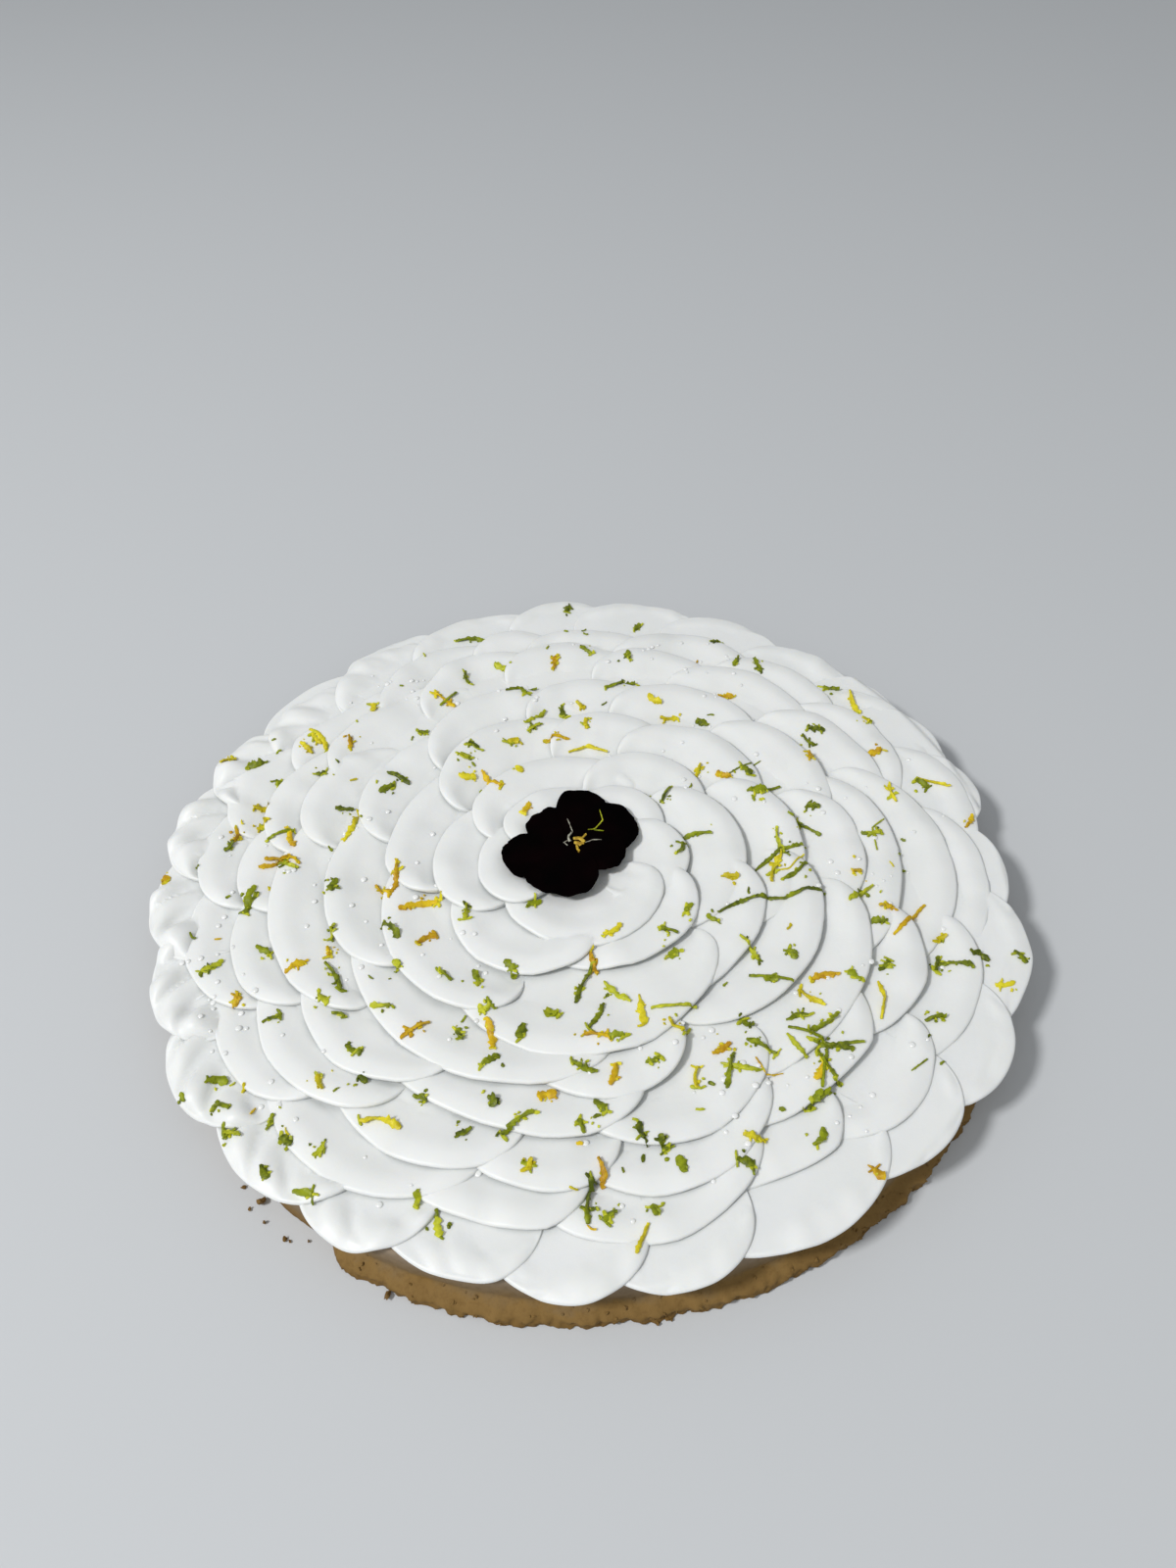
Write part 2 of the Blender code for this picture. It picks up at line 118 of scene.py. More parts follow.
# Cream dome and petals, as in the solids but for a thicker lip, steeper hollows and deeper folds
DOME_RADIUS = 122.7 * MM
DOME_RIM = 16.6 * MM
DOME_TOP = 25.2 * MM
CORE_RADIUS = 113.0 * MM
CORE_DROP = 2.6 * MM
CORE_RINGS = (1.0, 0.9, 0.75, 0.55, 0.3)
CORE_BOTTOM = 14.0 * MM
SURFACE_FLOOR = CRUST_HEIGHT + 1.3 * MM
FLOOR_TILT = 0.3 * MM
RIM_LAND = 1.5 * MM
RIM_SLOPE = 6.0 * MM
RIM_FALL = 5.0 * MM
LIP = 1.5 * MM
BODY = 6.5 * MM
BODY_DEPTH = 7.0 * MM
CURL_DEPTH = 17.0 * MM
CURL_LIMIT = 0.55
PEAK = 0.25
OVER_SHARE = 0.25
OVER_LEAST = 3.0 * MM
UNDER_SHARE = 0.2
UNDER_LEAST = 2.0 * MM
SHEET_DEPTH = 34.0 * MM
SHEET_TAPER = 0.85
SHEET_ROOT = 0.12
SHEET_LEAST = 2.0 * MM
HOLLOW = 1.1 * MM
HOLLOW_START = 4.0 * MM
HOLLOW_DEPTH = 8.0 * MM
# How fast the hollow deepens where the lip runs back along a petal's sides
FLANK = 0.3
SINK_START = 12.0 * MM
SINK_SLOPE = 0.2
TILT = 0.6 * MM
TILT_LIMIT = 1.3
FOLD_HEIGHT = 1.3 * MM
FOLD_AZIMUTH = 190.0
FOLD_SPREAD = 50.0
FOLD_COUNT = 0.6
FOLD_PHASE = 0.35
FOLD_DEPTH = 12.0 * MM

# Finer form of the cream
CORE_SIDES = 96
PETAL_COLUMNS = 34
OUTER_COLUMNS = 76
TOP_STEPS = 20
TOP_SPACING = 1.7
LIP_STEPS = 6
BOTTOM_SHARES = (0.08, 0.22, 0.5, 1.0)
CROWN_LIFT = 0.3 * MM
LIP_ROLL = 0.7 * MM
ROLL_DEPTH = 5.0 * MM
LIP_RIPPLE = 0.6 * MM
LIP_RIPPLE_SIZE = 12.0 * MM
RIPPLE_SHIFT = 0.3
# Streaks where a petal was dragged inwards, broad bulges, and one ridge
DRAG_RELIEF = 0.3 * MM
DRAG_ACROSS = 5.0 * MM
DRAG_ALONG = 16.0 * MM
BULGE_RELIEF = 0.7 * MM
BULGE_SIZE = 17.0 * MM
BULGE_START = 50.0
RIDGE_HEIGHT = 0.8 * MM
RIDGE_SPREAD = 12.0 * MM
RIDGE_WIDTH = 3.8 * MM
RIDGE_DEPTH = 13.0 * MM
RIDGE_LEAN = 0.35
# Swells along the outer petals' lips, with creases between them, strongest where the folds are
SWELL_HEIGHT = 2.4 * MM
SWELL_DEPTH = 6.0 * MM
SWELL_SPREAD = 48.0
CREASE_SPACING = 11.5 * MM
CREASE_WIDTH = 2.2 * MM
CREASE_LEAN = 0.8
# Steps from one petal to the next, so that these features don't repeat
RIPPLE_STRIDE = 5.7
DRAG_STRIDE = 7.3
BULGE_STRIDE = 3.1
RIDGE_PLACE_STRIDE = 2.4
RIDGE_LEAN_STRIDE = 1.7
RIDGE_HEIGHT_STRIDE = 3.7
CREASE_STRIDE = 2.1
# Painted shade: the cream's colour greyed in the nooks along the seams, where shade falls
PAINTED_SHADE_REACH = 4.5 * MM
PAINTED_SHADE_GREY = (0.72, 0.73, 0.735)

# Rows of petals from the rim inwards. A pair is the azimuth where a petal starts and its reach in
# millimetres from the axis. The petal ends where the next one starts, and a reach of 0 leaves a stretch bare.
ROWS = (
    ((116, 123), (130, 0), (132, 121), (149, 0), (350, 121), (364, 0), (369, 124), (379, 124), (391, 123),
     (401, 0)),
    ((2, 119), (20, 121), (37, 120), (54, 122), (70, 123), (86, 124), (99, 121), (117, 119), (134, 117),
     (149, 121), (162, 123), (177, 122), (192, 121), (206, 123), (221, 122), (236, 122), (248, 120),
     (261, 122), (274, 122), (287, 122), (306, 122), (320, 125), (334, 125), (350, 0)),
    ((18, 108), (37, 108), (56, 109), (77, 104), (96, 108), (108, 108), (129, 101), (150, 113), (167, 111),
     (183, 111), (203, 109), (222, 111), (248, 107), (266, 111), (290, 106), (305, 112), (323, 113),
     (343, 115), (365, 0)),
    ((-16, 106), (15, 98), (38, 98), (62, 95), (81, 97), (101, 99), (122, 93), (148, 97), (170, 98),
     (186, 99), (206, 100), (231, 99), (254, 98), (271, 101), (296, 95), (321, 99), (342, 0)),
    ((-20, 91), (14, 0), (146, 87), (168, 88), (209, 89), (236, 85), (272, 90), (300, 86), (341, 0)),
    ((-14, 81), (13, 81), (42, 81), (72, 76), (98, 76), (130, 71), (163, 72), (205, 75), (262, 76),
     (287, 0), (303, 71), (348, 0)),
    ((-20, 64), (21, 64), (62, 59), (92, 60), (139, 55), (184, 60), (236, 65), (302, 56), (344, 0)),
    ((-36, 47), (26, 46), (73, 39), (147, 41), (203, 45), (262, 41), (328, 0)),
    ((-45, 31), (17, 29), (75, 26), (150, 29), (215, 33), (315, 0)),
)
# How much lower the first row lies, and how many rows have the folds and swells
OUTER_ROW_DROP = 1.2 * MM
OUTER_ROWS = 2

# Zest, placed as in the solids: bunches by azimuth, radius in millimetres and number, then a sprinkling
ZEST_BUNCHES = ((183, 90, 6), (147, 89, 3), (203, 55, 3), (232, 69, 1), (153, 60, 2), (280, 47, 4),
                (272, 57, 3), (297, 79, 3), (315, 86, 4), (357, 58, 3), (226, 32, 1), (325, 78, 2))
BUNCH_SPREAD = 4.5 * MM
ZEST_SPRINKLED = 30
SPRINKLE_JITTER = 0.2
ZEST_INNER = 31.0 * MM
ZEST_OUTER = 112.0 * MM
ZEST_LENGTH = (4.5 * MM, 11.0 * MM)
ZEST_WIDTH = (1.3 * MM, 2.1 * MM)
ZEST_BEND = 0.9
ZEST_STATIONS = 4
# The one long strand, by azimuth and radius in millimetres
STRAND = ((330, 43), (336, 47), (341, 52), (343, 58), (347, 63), (348, 69))
STRAND_WIDTH = 1.5 * MM

# Colours of the zest, as the share of green pieces in each bunch, and what green and yellow ones may be
BUNCH_GREENS = (0.6, 0.0, 0.5, 0.0, 1.0, 0.5, 0.4, 0.8, 0.9, 0.7, 1.0, 0.1)
SPRINKLED_GREENS = 0.72
GREEN_KINDS = ("green", "green", "green", "lime")
YELLOW_KINDS = ("yellow", "orange")

# Finer form of a shred: its roll and twist, its stand, its tips and its ragged outline
ZEST_THICKNESS = 0.8 * MM
SIDE_THICKNESS = 0.6 * MM
SHRED_STEP = 0.6 * MM
SHRED_LEAST_STEPS = 4
SHRED_SIDES = 6
SHRED_ROLL = 0.5
SHRED_TWIST = 0.25
SHRED_STAND = 0.2
SHRED_RISE = 0.5
TIP_WIDTH = 0.45
TIP_SLOPE = 0.88
TIP_BLUNT = 0.3
SHRED_RAGGED = 0.65
SHRED_SHIFT = 0.25
SHRED_ROUGH = 0.3
RAGGED_STRIDE = 1.3
SHIFT_STRIDE = 0.9
SHIFT_LAYER = 5.0
ROUGH_STRIDES = (2.1, 1.7)

# Clumps: a shred, others that branch off it, and grains round them
CLUMP_LENGTH = (2.8 * MM, 5.6 * MM)
CLUMP_WIDTH = (1.4 * MM, 2.5 * MM)
CLUMP_BRANCHES = (2, 2, 3, 4)
SIDE_LENGTH = (1.6 * MM, 4.2 * MM)
SIDE_WIDTH = (0.6 * MM, 1.3 * MM)
SHORT_PATH_STEPS = 4
SHORT_PATH_BEND = 1.4
GRAINS_ROUND_CLUMP = (1, 4)
GRAIN_SPREAD = 1.5 * MM
ZEST_GRAIN = (0.22 * MM, 0.5 * MM)
ZEST_GRAIN_ROUGH = 0.7
# Clumps nearer to a large strip than this are taken as part of it
CLUMP_CLEAR = 5.0 * MM
STROKE_WIDTH = 1.3 * MM
THREAD_WIDTH = 0.5 * MM
FLECKS = 60
FLECK_LENGTH = (1.0 * MM, 2.4 * MM)
FLECK_WIDTH = (0.5 * MM, 1.0 * MM)

# Kinds of zest: the colours of its darker and lighter parts, its finish, and what else hangs on to it
ZEST_KINDS = {
    "green": ((0.075, 0.10, 0.003), (0.30, 0.35, 0.007), "zest_green", ("green", "lime", "lime")),
    "lime": ((0.30, 0.34, 0.008), (0.60, 0.61, 0.03), "zest_green", ("lime", "lime", "green")),
    "yellow": ((0.52, 0.42, 0.008), (0.80, 0.70, 0.025), "zest_yellow", ("yellow", "yellow", "lime")),
    "orange": ((0.48, 0.26, 0.006), (0.78, 0.55, 0.012), "zest_yellow", ("orange", "yellow", "yellow")),
}

# Places of smaller clumps of zest, as pixels of the photograph
CLUMP_PIXELS = {
    "green": (
        (352, 826), (432, 748), (340, 903), (269, 970), (546, 922), (370, 1102), (653, 1154), (838, 1162),
        (896, 940), (787, 998), (761, 1045), (816, 1036), (833, 744), (778, 806), (762, 786), (830, 823),
        (503, 1124), (468, 1056), (532, 1052), (669, 1235), (455, 996), (486, 997), (522, 986),
        (630, 1056), (278, 1145), (292, 1164), (270, 1196), (226, 1128), (184, 1120), (224, 1103),
        (309, 1217), (360, 1072), (430, 1118), (613, 1128), (474, 1156), (594, 1149), (457, 1229),
        (622, 1240), (696, 1188), (761, 1185), (676, 1169), (831, 1121), (872, 996), (904, 986),
        (956, 984), (954, 1039), (808, 974), (687, 974), (683, 949), (726, 938), (702, 926), (451, 711),
        (532, 704), (475, 693), (641, 669), (730, 655), (752, 675), (848, 704), (716, 738), (574, 728),
        (484, 760), (941, 800), (898, 814), (679, 810), (696, 866), (717, 853), (285, 800), (328, 791),
        (262, 782), (235, 864), (346, 1035), (280, 1039), (501, 1082), (667, 1083), (1001, 976),
        (1042, 976), (579, 622), (651, 641),
    ),
    "lime": (
        (544, 742), (893, 850), (339, 949), (510, 681), (475, 771), (562, 1034), (331, 1019), (427, 1225),
        (238, 1157), (495, 1030), (406, 983), (388, 1027), (325, 1175),
    ),
    "yellow": (
        (682, 734), (592, 719), (597, 738), (524, 756), (667, 715), (884, 734), (477, 793), (530, 785),
        (756, 979), (601, 1206), (628, 949), (746, 895), (540, 1188), (233, 776), (268, 826), (270, 926),
        (268, 845), (690, 1048), (960, 958), (1026, 1005), (326, 1105), (770, 1160), (382, 724),
    ),
    "orange": (
        (566, 677), (740, 712), (566, 751), (827, 771), (892, 768), (738, 792), (991, 837), (874, 889),
        (903, 924), (897, 1199), (615, 1193), (559, 1117), (241, 1020), (304, 985), (336, 971), (435, 958),
        (170, 897), (243, 854), (537, 825), (422, 1048),
    ),
}
# Longer strips and thin threads of zest: kind, width, and the way along as pixels of the photograph
ZEST_STROKES = (
    ("lime", STROKE_WIDTH, ((664, 1029), (711, 1029))),
    ("green", STROKE_WIDTH, ((764, 996), (810, 1001))),
    ("orange", STROKE_WIDTH, ((912, 954), (944, 924))),
    ("yellow", STROKE_WIDTH, ((649, 1279), (662, 1249))),
    ("yellow", STROKE_WIDTH, ((896, 1002), (903, 1018), (899, 1040))),
    ("green", STROKE_WIDTH, ((804, 1048), (836, 1058), (846, 1068), (882, 1063))),
    ("green", STROKE_WIDTH, ((844, 1072), (838, 1110))),
    ("green", STROKE_WIDTH, ((832, 1122), (846, 1112))),
    ("lime", STROKE_WIDTH, ((803, 1055), (812, 1066), (824, 1080))),
    ("green", STROKE_WIDTH, ((771, 889), (795, 868), (822, 866))),
    ("yellow", THREAD_WIDTH, ((790, 889), (806, 886), (820, 872))),
    ("green", THREAD_WIDTH, ((738, 793), (776, 777))),
    ("green", STROKE_WIDTH, ((762, 808), (796, 804))),
    ("lime", THREAD_WIDTH, ((902, 836), (890, 845), (895, 868))),
    ("green", THREAD_WIDTH, ((930, 1093), (946, 1081))),
    ("orange", THREAD_WIDTH, ((771, 1079), (781, 1095), (799, 1096))),
    ("yellow", STROKE_WIDTH, ((936, 795), (970, 803))),
    ("yellow", STROKE_WIDTH, ((580, 768), (600, 762), (620, 768))),
    ("green", STROKE_WIDTH, ((449, 720), (466, 707))),
    ("green", STROKE_WIDTH, ((516, 705), (548, 704))),
    ("lime", 0.35 * MM, ((612, 827), (615, 837), (607, 846), (600, 847))),
    ("green", 0.3 * MM, ((606, 847), (616, 848))),
)

# Viola: its solid's form less the cup, in five petals that are wider than what shows of them
VIOLA_CENTRE = (-2.4 * MM, 1.4 * MM)
VIOLA_LIFT = 25.6 * MM
VIOLA_REACH = 20.0 * MM
VIOLA_WAVE = 0.7 * MM
VIOLA_WAVES = 7
VIOLA_TWIST = 2.0
LOBE_BLUNT = 2.6
LOBE_ROUND = 0.55
LOBE_SPREAD = 1.5
VIOLA_THICKNESS = 0.35 * MM
VIOLA_STEP = 0.15 * MM
VIOLA_COLUMNS = 64
VIOLA_RINGS = 16
VIOLA_INNER = 0.015
VIOLA_LEAST = 1.5 * MM
VIOLA_RAGGED = 0.45 * MM
VIOLA_RAGGED_SIZE = 1.8 * MM
VIOLA_RAGGED_STRIDE = 9.0
VIOLA_RUFFLE = 0.3 * MM
VIOLA_RUFFLES = 19
RUFFLE_POWER = 4
VIOLA_VEIN = 0.05 * MM
VIOLA_VEINS = 64
# Azimuth, half angle and reach of each petal's lobes, from the lowest petal to the highest
VIOLA_PETALS = (
    ((132.0, 36.0, 15.1 * MM),),
    ((27.0, 35.0, 20.0 * MM), (79.0, 26.0, 20.1 * MM)),
    ((202.0, 30.0, 20.0 * MM),),
    ((337.0, 30.0, 16.0 * MM),),
    ((257.0, 42.0, 19.6 * MM),),
)
# The flower's eye and the hairs round it, as widths and ways along in pixels of the photograph
EYE_STROKES = (
    (1.6 * MM, ((585, 856), (591, 856), (597, 860))),
    (1.3 * MM, ((586, 860), (591, 861), (596, 861))),
    (0.7 * MM, ((588, 862), (591, 870))),
    (0.6 * MM, ((593, 856), (598, 852))),
)
HAIR_STROKES = (
    (0.25 * MM, ((585, 850), (582, 843), (579, 836))),
    (0.3 * MM, ((597, 860), (605, 857), (614, 857))),
    (0.8 * MM, ((583, 850), (580, 854), (582, 859))),
    (0.3 * MM, ((580, 858), (575, 860), (579, 863))),
)

# Crumbs on the ground, as pixels of the photograph and sizes across
CRUMBS = (
    ((249, 1212), 0.9 * MM), ((268, 1227), 2.1 * MM), ((255, 1234), 0.8 * MM), ((270, 1248), 0.9 * MM),
    ((291, 1265), 1.1 * MM), ((296, 1267), 0.6 * MM), ((315, 1267), 0.7 * MM), ((396, 1323), 1.8 * MM),
    ((399, 1315), 0.9 * MM),
)
CRUMB_ROUGH = 0.9

# Droplets on the cream, many of them in groups. The areas are shares of the area with zest.
DROPLETS = 90
DROPLET_AREA = (0.1, 0.98)
DROPLET_GROUPS = 26
DROPLET_GROUP_AREA = (0.1, 0.9)
DROPLET_GROUP_SIZE = (2, 5)
DROPLET_SPREAD = 4.0 * MM
DROPLET_SIZE = (0.35 * MM, 0.9 * MM)
DROPLET_FLATNESS = 0.36
DROPLET_STAND = 0.2
# Places of single ones, as pixels of the photograph
DROPLET_PIXELS = ((229, 936), (223, 945), (321, 903), (321, 920), (313, 945), (222, 974),
                  (222, 1002), (272, 863), (235, 873))


def smoothstep(t):
    t = min(max(t, 0.0), 1.0)
    return t * t * (3.0 - 2.0 * t)


def polar(radius, azimuth, z):
    """A point from its radius, azimuth in degrees and height."""
    angle = math.radians(azimuth)
    return radius * math.cos(angle), radius * math.sin(angle), z


def turn_between(azimuth, other):
    """How far one azimuth lies round from another, from -180 to 180 degrees."""
    return (azimuth - other + 180.0) % 360.0 - 180.0


def photo_ray(x, y):
    """Direction from the camera through a pixel of the photograph."""
    focal = CAMERA_LENS / CAMERA_SENSOR * PHOTO_HEIGHT
    ray = Vector((x - 0.5 * PHOTO_WIDTH, 0.5 * PHOTO_HEIGHT - y, -focal))
    return (CAMERA_TURN.to_matrix() @ ray).normalized()


def link_object(name, data, collection=None):
    obj = bpy.data.objects.new(name, data)
    (collection or bpy.context.scene.collection).objects.link(obj)
    return obj


def add_object(name, bm, collection=None):
    bmesh.ops.recalc_face_normals(bm, faces=bm.faces)
    mesh = bpy.data.meshes.new(name)
    bm.to_mesh(mesh)
    bm.free()
    return link_object(name, mesh, collection)


def finish_piece(obj, material, slot, *nodes, sharp_degrees=50.0):
    """Shades a piece, gives it its material, and hides the solids that it replaces, if any."""
    obj.data.materials.clear()
    obj.data.materials.append(material)
    obj.data.shade_smooth()
    obj.data.set_sharp_from_angle(angle=math.radians(sharp_degrees))
    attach(obj, "root")
    if nodes:
        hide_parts(*nodes)


def grid_faces(bm, columns, closed_rows):
    """Skins neighbouring columns of vertices, each closed on itself where asked."""
    for left, right in zip(columns, columns[1:]):
        count = len(left)
        for j in range(count if closed_rows else count - 1):
            k = (j + 1) % count
            bm.faces.new((left[j], left[k], right[k], right[j]))


def skin_tube(bm, sections):
    """Skins a row of closed sections, with a cap on the first and the last."""
    grid_faces(bm, sections, closed_rows=True)
    bm.faces.new(sections[0])
    bm.faces.new(sections[-1])


def skin_ring(bm, columns):
    """Skins columns that stand in a ring, with a cap below and above."""
    grid_faces(bm, columns + columns[:1], closed_rows=False)
    bm.faces.new([column[0] for column in columns])
    bm.faces.new([column[-1] for column in columns])


# Camera, light and floor

def add_camera():
    data = bpy.data.cameras.new("camera")
    data.lens = CAMERA_LENS
    data.sensor_width = CAMERA_SENSOR
    data.clip_start = 0.01
    camera = link_object("camera", data)
    camera.location = CAMERA_PLACE
    camera.rotation_euler = CAMERA_TURN
    bpy.context.scene.camera = camera


def add_area_light(name, place, size, power):
    data = bpy.data.lights.new(name, "AREA")
    data.shape = "DISK"
    data.size = size
    data.energy = power
    light = link_object(name, data)
    light.location = place
    light.rotation_euler = Vector(place).to_track_quat("Z", "Y").to_euler()


def add_floor():
    bm = bmesh.new()
    bmesh.ops.create_grid(bm, x_segments=1, y_segments=1, size=0.5 * FLOOR_SIZE)
    floor = add_object("floor", bm)
    floor.location.z = -FLOOR_DROP
    material, _, _ = new_material("floor", Base_Color=(*FLOOR_COLOR, 1.0), Roughness=0.7)
    floor.data.materials.append(material)


def add_lights():
    world = bpy.data.worlds.new("sky")
    world.use_nodes = True
    background = world.node_tree.nodes["Background"]
    background.inputs["Color"].default_value = (*SKY_COLOR, 1.0)
    background.inputs["Strength"].default_value = SKY_STRENGTH
    bpy.context.scene.world = world
    bpy.context.scene.view_settings.view_transform = "Standard"
    add_area_light("key", KEY_PLACE, KEY_SIZE, KEY_POWER)
    add_area_light("fill", FILL_PLACE, FILL_SIZE, FILL_POWER)


# Materials

def new_material(name, **settings):
    """A material, its shader with the given settings, and a function that adds a node to it."""
    material = bpy.data.materials.new(name)
    material.use_nodes = True
    nodes = material.node_tree.nodes
    links = material.node_tree.links
    shader = nodes["Principled BSDF"]
    for key, value in settings.items():
        shader.inputs[key.replace("_", " ")].default_value = value

    def add(kind, *, inputs=(), feeds=(), **values):
        """A node with its inputs set or linked, by place or by name, and what its first output feeds."""
        node = nodes.new("ShaderNode" + kind)
        sockets = dict(inputs)
        for key, value in values.items():
            if key.startswith("set_"):
                setattr(node, key.removeprefix("set_"), value)
            else:
                sockets[key.replace("_", " ")] = value
        for key, value in sockets.items():
            if isinstance(value, bpy.types.NodeSocket):
                links.new(value, node.inputs[key])
            else:
                node.inputs[key].default_value = value
        for target in feeds:
            links.new(node.outputs[0], target)
        return node

    return material, shader, add


def ramp(add, source, stops, feeds=()):
    """A colour ramp over a value, from (place, colour) stops."""
    node = add("ValToRGB", Fac=source, feeds=feeds)
    elements = node.color_ramp.elements
    while len(elements) < len(stops):
        elements.new(0.5)
    for element, (place, color) in zip(elements, stops):
        element.position = place
        element.color = (*color, 1.0)
    return node


def object_noise(add, scale, detail, roughness=0.5):
    """Noise over the object's own coordinates, its scale in cycles a metre."""
    place = add("TexCoord").outputs["Object"]
    return add("TexNoise", Vector=place, Scale=scale, Detail=detail, Roughness=roughness).outputs["Fac"]


def darken(material, shader, add, base, shade, share):
    """Gives a shader one ramp's colours, darkened by a share of another's."""
    mix = add("Mix", set_data_type="RGBA", set_blend_type="MULTIPLY",
              inputs={0: share, 6: base.outputs["Color"], 7: shade.outputs["Color"]})
    material.node_tree.links.new(mix.outputs[2], shader.inputs["Base Color"])


def cream_material():
    """Whipped cream, slightly uneven in its white, with painted shade greying its nooks, and finely pored."""
    material, shader, add = new_material(
        "whipped_cream", Roughness=0.42, Specular_IOR_Level=0.35,
        Subsurface_Weight=0.35, Subsurface_Radius=(1.0, 0.9, 0.75), Subsurface_Scale=0.0018,
    )
    white = ramp(add, object_noise(add, 60.0, 3.0), ((0.3, (0.83, 0.84, 0.82)), (0.7, (0.87, 0.875, 0.86))))
    # Painted shade: ambient occlusion greys the cream's colour in its creases and under the petals' lips
    painted_shade_occlusion = add("AmbientOcclusion", set_samples=8, set_only_local=True, Distance=PAINTED_SHADE_REACH)
    shade = ramp(add, painted_shade_occlusion.outputs["AO"], ((0.4, PAINTED_SHADE_GREY), (0.9, (1.0, 1.0, 1.0))))
    darken(material, shader, add, white, shade, share=1.0)
    pores = object_noise(add, 900.0, 4.0, 0.6)
    add("Bump", Height=pores, Strength=0.1, Distance=0.0003, feeds=[shader.inputs["Normal"]])
    return material


def zest_material(kind):
    """Rind whose colour changes from shred to shred and within each."""
    dark, light, _, _ = ZEST_KINDS[kind]
    material, shader, add = new_material(
        kind + "_rind", Roughness=0.45, Specular_IOR_Level=0.3,
        Subsurface_Weight=0.2, Subsurface_Radius=(1.0, 0.8, 0.2), Subsurface_Scale=0.0006,
    )
    patches = object_noise(add, 110.0, 1.0)
    spots = object_noise(add, 700.0, 3.0, 0.6)
    both = add("Math", set_operation="ADD", inputs={0: patches, 1: spots})
    mean = add("Math", set_operation="MULTIPLY", inputs={0: both.outputs[0], 1: 0.5})
    ramp(add, mean.outputs[0], ((0.38, dark), (0.6, light)), feeds=[shader.inputs["Base Color"]])
    pits = object_noise(add, 2200.0, 2.0)
    add("Bump", Height=pits, Strength=0.5, Distance=0.0002, feeds=[shader.inputs["Normal"]])
    return material


def pastry_material():
    """Biscuit pastry: pale tan on the wall, golden brown on the foot, in patches, with fine dark specks."""
    material, shader, add = new_material("biscuit_pastry", Roughness=0.8, Specular_IOR_Level=0.25)
    place = add("TexCoord").outputs["Object"]
    height = add("SeparateXYZ", Vector=place).outputs["Z"]
    # The level runs from about 0.2 at the foot to 1 at the rim, uneven by the patches
    rise = add("Math", set_operation="MULTIPLY", inputs={0: height, 1: 0.8 / CRUST_HEIGHT})
    patches = object_noise(add, 90.0, 5.0, 0.6)
    level = add("Math", set_operation="MULTIPLY_ADD", inputs={0: patches, 1: 0.4, 2: rise.outputs[0]})
    bake = ramp(add, level.outputs[0], (
        (0.2, (0.175, 0.097, 0.024)),
        (0.42, (0.235, 0.14, 0.042)),
        (0.52, (0.21, 0.142, 0.068)),
        (0.9, (0.28, 0.215, 0.15)),
    ))
    specks = object_noise(add, 700.0, 4.0, 0.7)
    shade = ramp(add, specks, ((0.34, (0.62, 0.55, 0.45)), (0.5, (1.0, 1.0, 1.0))))
    darken(material, shader, add, bake, shade, share=0.4)
    add("Bump", Height=specks, Strength=0.35, Distance=0.0003, feeds=[shader.inputs["Normal"]])
    return material


def viola_material():
    """A petal as dark as velvet, with a wine-red cast."""
    material, shader, add = new_material(
        "viola_petal", Roughness=0.9, Specular_IOR_Level=0.02,
        Sheen_Weight=0.002, Sheen_Roughness=0.4, Sheen_Tint=(0.6, 0.08, 0.16, 1.0),
    )
    tone = object_noise(add, 120.0, 3.0)
    ramp(add, tone, ((0.35, (0.0005, 0.0003, 0.0003)), (0.72, (0.0025, 0.0004, 0.0007))),
         feeds=[shader.inputs["Base Color"]])
    nap = object_noise(add, 3000.0, 2.0)
    add("Bump", Height=nap, Strength=0.4, Distance=0.0001, feeds=[shader.inputs["Normal"]])
    return material


def strand_material(name, dark, light):
    """The matte yellow or white of the flower's eye and hairs."""
    material, shader, add = new_material(name, Roughness=0.6, Specular_IOR_Level=0.3)
    ramp(add, object_noise(add, 900.0, 2.0), ((0.4, dark), (0.6, light)), feeds=[shader.inputs["Base Color"]])
    return material


def droplet_material():
    material, shader, add = new_material("droplet", Roughness=0.12, Specular_IOR_Level=0.6)
    ramp(add, object_noise(add, 200.0, 2.0), ((0.4, (0.84, 0.85, 0.83)), (0.6, (0.92, 0.92, 0.91))),
         feeds=[shader.inputs["Base Color"]])
    return material


# Cream

def dome(radius):
    """Height of the petals' lips over the dome."""
    return DOME_RIM + (DOME_TOP - DOME_RIM) * (1.0 - (radius / DOME_RADIUS) ** 2)


def row_petals(row):
    """Start, end, reach and the reach at both seams of each petal in a row."""
    petals = []
    before = 0
    for (start, reach), (end, after) in zip(row, row[1:]):
        if reach > 0:
            seam_low = 0.5 * (reach + (before or reach))
            seam_high = 0.5 * (reach + (after or reach))
            petals.append((start, end, reach * MM, seam_low * MM, seam_high * MM))
        before = reach
    return petals


def folding(azimuth, spread):
    """How strongly the outer petals are folded at an azimuth, most on the left."""
    return math.exp(-(turn_between(azimuth, FOLD_AZIMUTH) / spread) ** 2)


def fold(azimuth, across, depth):
    """Height of the soft folds that run in from an outer petal's lip."""
    wave = math.sin(2.0 * math.pi * FOLD_COUNT * across + FOLD_PHASE * azimuth)
    return FOLD_HEIGHT * folding(azimuth, FOLD_SPREAD) * wave * math.exp(-depth / FOLD_DEPTH)


def swells(azimuth, arc, depth, number):
    """Height of the swells along an outer petal's lip, with slanting creases between them."""
    inwards = depth / SWELL_DEPTH
    turns = (arc + CREASE_LEAN * depth) / CREASE_SPACING + math.sin(CREASE_STRIDE * number)
    off_crease = (turns - math.floor(turns) - 0.5) * CREASE_SPACING / CREASE_WIDTH
    height = SWELL_HEIGHT * folding(azimuth, SWELL_SPREAD) * inwards * math.exp(1.0 - inwards)
    return height * (1.0 - math.exp(-off_crease ** 2))


